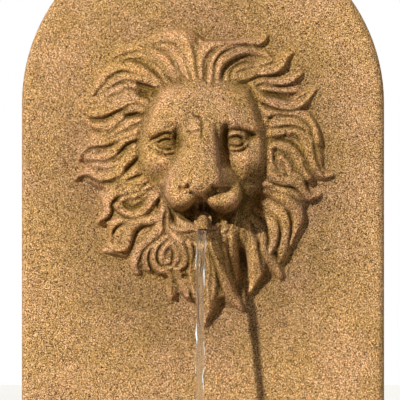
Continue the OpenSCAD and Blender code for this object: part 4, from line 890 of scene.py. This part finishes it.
def add_relief():
    """The lion's mask, as a closed shell: its carved front, and a hollow back against the panel."""
    rim = inside(MANE)
    height = mask_height(rim)
    swell = 0.9 * ease((rim + 9) / 7)
    front = np.where(rim > -1, height + 0.9, height + swell) - 1.5 * ease((-rim - 3) / 9)
    hollow = 27 * (1 - oval(HEAD_X, 168, 88, 100) ** 2)
    # the shell is 7 mm thick or more, and thinner only by its rim, which stands 2.4 mm in the panel
    back = np.maximum(np.minimum(hollow, front - 7), -2.4)
    keep = rim > -13.5
    rows, cols = np.nonzero(keep[:-1, :-1] & keep[1:, :-1] & keep[:-1, 1:] & keep[1:, 1:])
    wide = GX.shape[1]
    first = rows * wide + cols
    quads = np.stack([first, first + wide, first + wide + 1, first + 1], 1)
    used, quads = np.unique(quads, return_inverse=True)
    quads = quads.reshape(-1, 4)
    px, py = GX.ravel()[used], GY.ravel()[used]
    top = place(px, py, front.ravel()[used])
    low = place(px, py, back.ravel()[used])
    edges = {}
    for quad in quads.tolist():
        for pair in zip(quad, quad[1:] + quad[:1]):
            if edges.pop(pair[::-1], None) is None:
                edges[pair] = True
    n = len(used)
    faces = quads.tolist() + (quads[:, ::-1] + n).tolist()
    faces += [[j, i, i + n, j + n] for i, j in edges]
    # the carved coat takes its painted shade and painted highlights from the point attributes
    coat = sandstone("sand_coat_carved", (184, 143, 80), True, True)
    obj = new_piece("lion_relief", np.vstack([top, low]), faces, coat)
    for name, values in tones(height).items():
        layer = obj.data.attributes.new(name, "FLOAT", "POINT")
        value = values.ravel()[used]
        layer.data.foreach_set("value", np.concatenate([value, 0 * value]).astype(np.float32))
    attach(obj, "root")
    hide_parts("lion_mask")


def tube(name, line, radii, wave, mat):
    """A closed tube along a line, with its own radius at each point and a wave over it."""
    sides = 20
    line = np.array(line)
    heading = np.gradient(line, axis=0)
    heading /= np.linalg.norm(heading, axis=1, keepdims=True)
    side = np.tile([1.0, 0, 0], (len(line), 1))
    side -= heading * (side * heading).sum(1, keepdims=True)
    side /= np.linalg.norm(side, axis=1, keepdims=True)
    other = np.cross(heading, side)
    points, faces = [], []
    for i, middle in enumerate(line):
        for k in range(sides):
            a = 2 * math.pi * k / sides
            r = radii[i] * (1 + wave(i, a))
            points.append(middle + r * (math.cos(a) * side[i] + math.sin(a) * other[i]))
    for i in range(0, (len(line) - 1) * sides, sides):
        for k in range(sides):
            after = (k + 1) % sides
            faces.append([i + k, i + after, i + sides + after, i + sides + k])
    faces.append(list(range(sides))[::-1])
    faces.append([(len(line) - 1) * sides + k for k in range(sides)])
    return new_piece(name, points, faces, mat)


# level of the pool, start of the jet, and its speed out and down in metres a second
WATER_Z = 0.405
JET_FROM = Vector((-0.0004, 0.0276, 0.7625))
JET_OUT = 0.28
JET_DOWN = 0.55
GRAVITY = 9.81
JET_TIME = (math.sqrt(JET_DOWN ** 2 + 2 * GRAVITY * (JET_FROM.z - WATER_Z)) - JET_DOWN) / GRAVITY


def jet_at(t):
    """Where the water is, some seconds after it has left the spout."""
    drift = -0.0027 * (1 - math.exp(-t / 0.03))
    return (JET_FROM.x + drift, JET_FROM.y - JET_OUT * t, JET_FROM.z - JET_DOWN * t - GRAVITY * t * t / 2)


def add_jet():
    """The water that falls from the spout into the basin. It starts a little way inside the spout."""
    steps = 150
    line, radii = [], []
    for i in range(-4, steps + 1):
        t = JET_TIME * i / steps * (1 if i > 0 else 0.9)
        line.append(jet_at(t))
        fall = max(JET_FROM.z - line[-1][2], 0)
        r = 0.0037 + 0.0009 * math.exp(-fall / 0.012) + 0.0004 * math.exp(-fall / 0.1)
        radii.append(min(r, 0.0046) if i > 0 else 0.0041)

    def wave(i, a):
        """Swelling of the jet at a point of its line and an angle round it."""
        z = line[i][2] - 0.017
        grow = min(max((JET_FROM.z - line[i][2]) / 0.02, 0), 1)
        return grow * (0.07 * math.sin(z * 330 + 1.3 * math.sin(z * 41)) + 0.1 * math.cos(2 * a + z * 70)
                       + 0.05 * math.cos(3 * a - z * 190 + 1))

    line[-1] = (line[-1][0], line[-1][1], WATER_Z - 0.002)
    obj = tube("water_jet", line, radii, wave, water("jet_water", False))
    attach(obj, "root")


# the pool: middle of its mesh and of the round front wall, half width, back wall, depth of the mesh
POOL_Y = 0.02
BOWL_Y = 0.05
POOL_HALF = 0.2185
POOL_BACK = 0.0888
POOL_SKIN = 0.006


def pool_edge(angle):
    """How far the wall of the basin is from the middle of the pool, at an angle."""
    dx, dy = math.cos(angle), math.sin(angle)
    best = 1.0
    if dy > 1e-6:
        best = (POOL_BACK - POOL_Y) / dy
    if abs(dx) > 1e-6:
        straight = POOL_HALF / abs(dx)
        if POOL_Y + straight * dy >= BOWL_Y:
            best = min(best, straight)
    b = dy * (POOL_Y - BOWL_Y)
    c = (POOL_Y - BOWL_Y) ** 2 - POOL_HALF ** 2
    curved = math.sqrt(b * b - c) - b
    if POOL_Y + curved * dy <= BOWL_Y + 1e-6:
        best = min(best, curved)
    return best


def add_pool():
    """Water that stands in the basin, with rings where the jet falls in."""
    hit = jet_at(JET_TIME)
    rng = np.random.default_rng(7)
    ways = [(rng.uniform(0, 2 * math.pi), rng.uniform(60, 150), rng.uniform(0, 6.28)) for _ in range(7)]

    def ripple(x, y):
        """Height of the water over its level."""
        r = math.hypot(x - hit[0], y - hit[1])
        ring = 0.0011 * math.sin(r * 420) * math.exp(-r / 0.045) * min(r / 0.006, 1)
        mound = 0.0022 * math.exp(-(r / 0.007) ** 2)
        small = sum(math.sin(f * (x * math.cos(a) + y * math.sin(a)) + start) for a, f, start in ways)
        return ring + mound + small * 0.00013

    around, rings = 256, 90
    points, faces = [], []
    for j in range(rings + 1):
        for k in range(around):
            a = 2 * math.pi * k / around
            r = pool_edge(a) * (j / rings) ** 0.9
            x, y = r * math.cos(a), POOL_Y + r * math.sin(a)
            points.append((x, y, WATER_Z + ripple(x, y)))
    n = len(points)
    points += [(x, y, WATER_Z - POOL_SKIN) for x, y, _ in points[-around:]]
    points.append((0, POOL_Y, WATER_Z - POOL_SKIN))
    for j in range(rings):
        inner, outer = j * around, (j + 1) * around
        for k in range(around):
            after = (k + 1) % around
            face = [inner + k, outer + k, outer + after, inner + after]
            faces.append(face if j else face[:3])
    for k in range(around):
        after = (k + 1) % around
        faces.append([outer + k, n + k, n + after, outer + after])
        faces.append([n + after, n + k, n + around])
    obj = new_piece("pool_water", points, faces, water("pool_water", True))
    clean = bmesh.new()
    clean.from_mesh(obj.data)
    bmesh.ops.remove_doubles(clean, verts=clean.verts, dist=1e-6)
    bmesh.ops.recalc_face_normals(clean, faces=clean.faces)
    clean.to_mesh(obj.data)
    clean.free()
    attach(obj, "root")


# Stage and light

def floor_paint():
    """Pale paint that throws back less light than the camera sees."""
    m = Nodes("floor_paint")
    colour = m.times(linear((236, 235, 232)), m.grey(m.noise(3), (0.3, 0.985), (0.7, 1.01)))
    seen = m.add("ShaderNodeLightPath").outputs["Is Camera Ray"]
    colour = m.mix(seen, m.times(colour, (0.25, 0.25, 0.25, 1)), colour)
    return m.finish(colour, 0.85, Specular_IOR_Level=0.2)


def add_stage():
    """A wide floor under the fountain."""
    corners = [(-6, -6, 0), (6, -6, 0), (6, 6, 0), (-6, 6, 0)]
    floor = new_piece("stage_floor", corners, [[0, 1, 2, 3]], floor_paint(), False)


def add_sun(name, towards, strength, angle, colour=(1, 1, 1)):
    """A sun lamp. Its angle, in degrees, softens the shadows."""
    data = bpy.data.lights.new(name, "SUN")
    data.energy = strength
    data.angle = math.radians(angle)
    data.color = colour
    lamp = add_object(name, data)
    lamp.rotation_euler = Vector(towards).to_track_quat("-Z", "Y").to_euler()


def add_light():
    """Three suns, and a world that lights little and shows white to the eye and in reflections."""
    add_sun("key", (0.6, 1.0, -0.56), 4.3, 2.0, (1.0, 0.985, 0.95))
    add_sun("back", (-0.5, -1.0, -0.75), 1.7, 25)
    add_sun("side", (-1.0, 0.12, -0.35), 0.2, 30)
    world = bpy.data.worlds.new("studio")
    bpy.context.scene.world = world
    sky = Tree(world)
    rays = sky.add("ShaderNodeLightPath").outputs
    seen = rays["Is Camera Ray"]
    for other in ("Is Glossy Ray", "Is Transmission Ray"):
        seen = sky.math("MAXIMUM", seen, rays[other])
    level = sky.add("ShaderNodeMapRange", {"Value": seen, "To Min": 0.16, "To Max": 1})
    sky.put(sky.tree.nodes["Background"], {"Color": (1, 1, 1, 1), "Strength": level.outputs["Result"]})


add_camera()
dress_nodes()
add_relief()
add_jet()
add_pool()
add_stage()
add_light()
bpy.context.scene.view_settings.view_transform = "Standard"
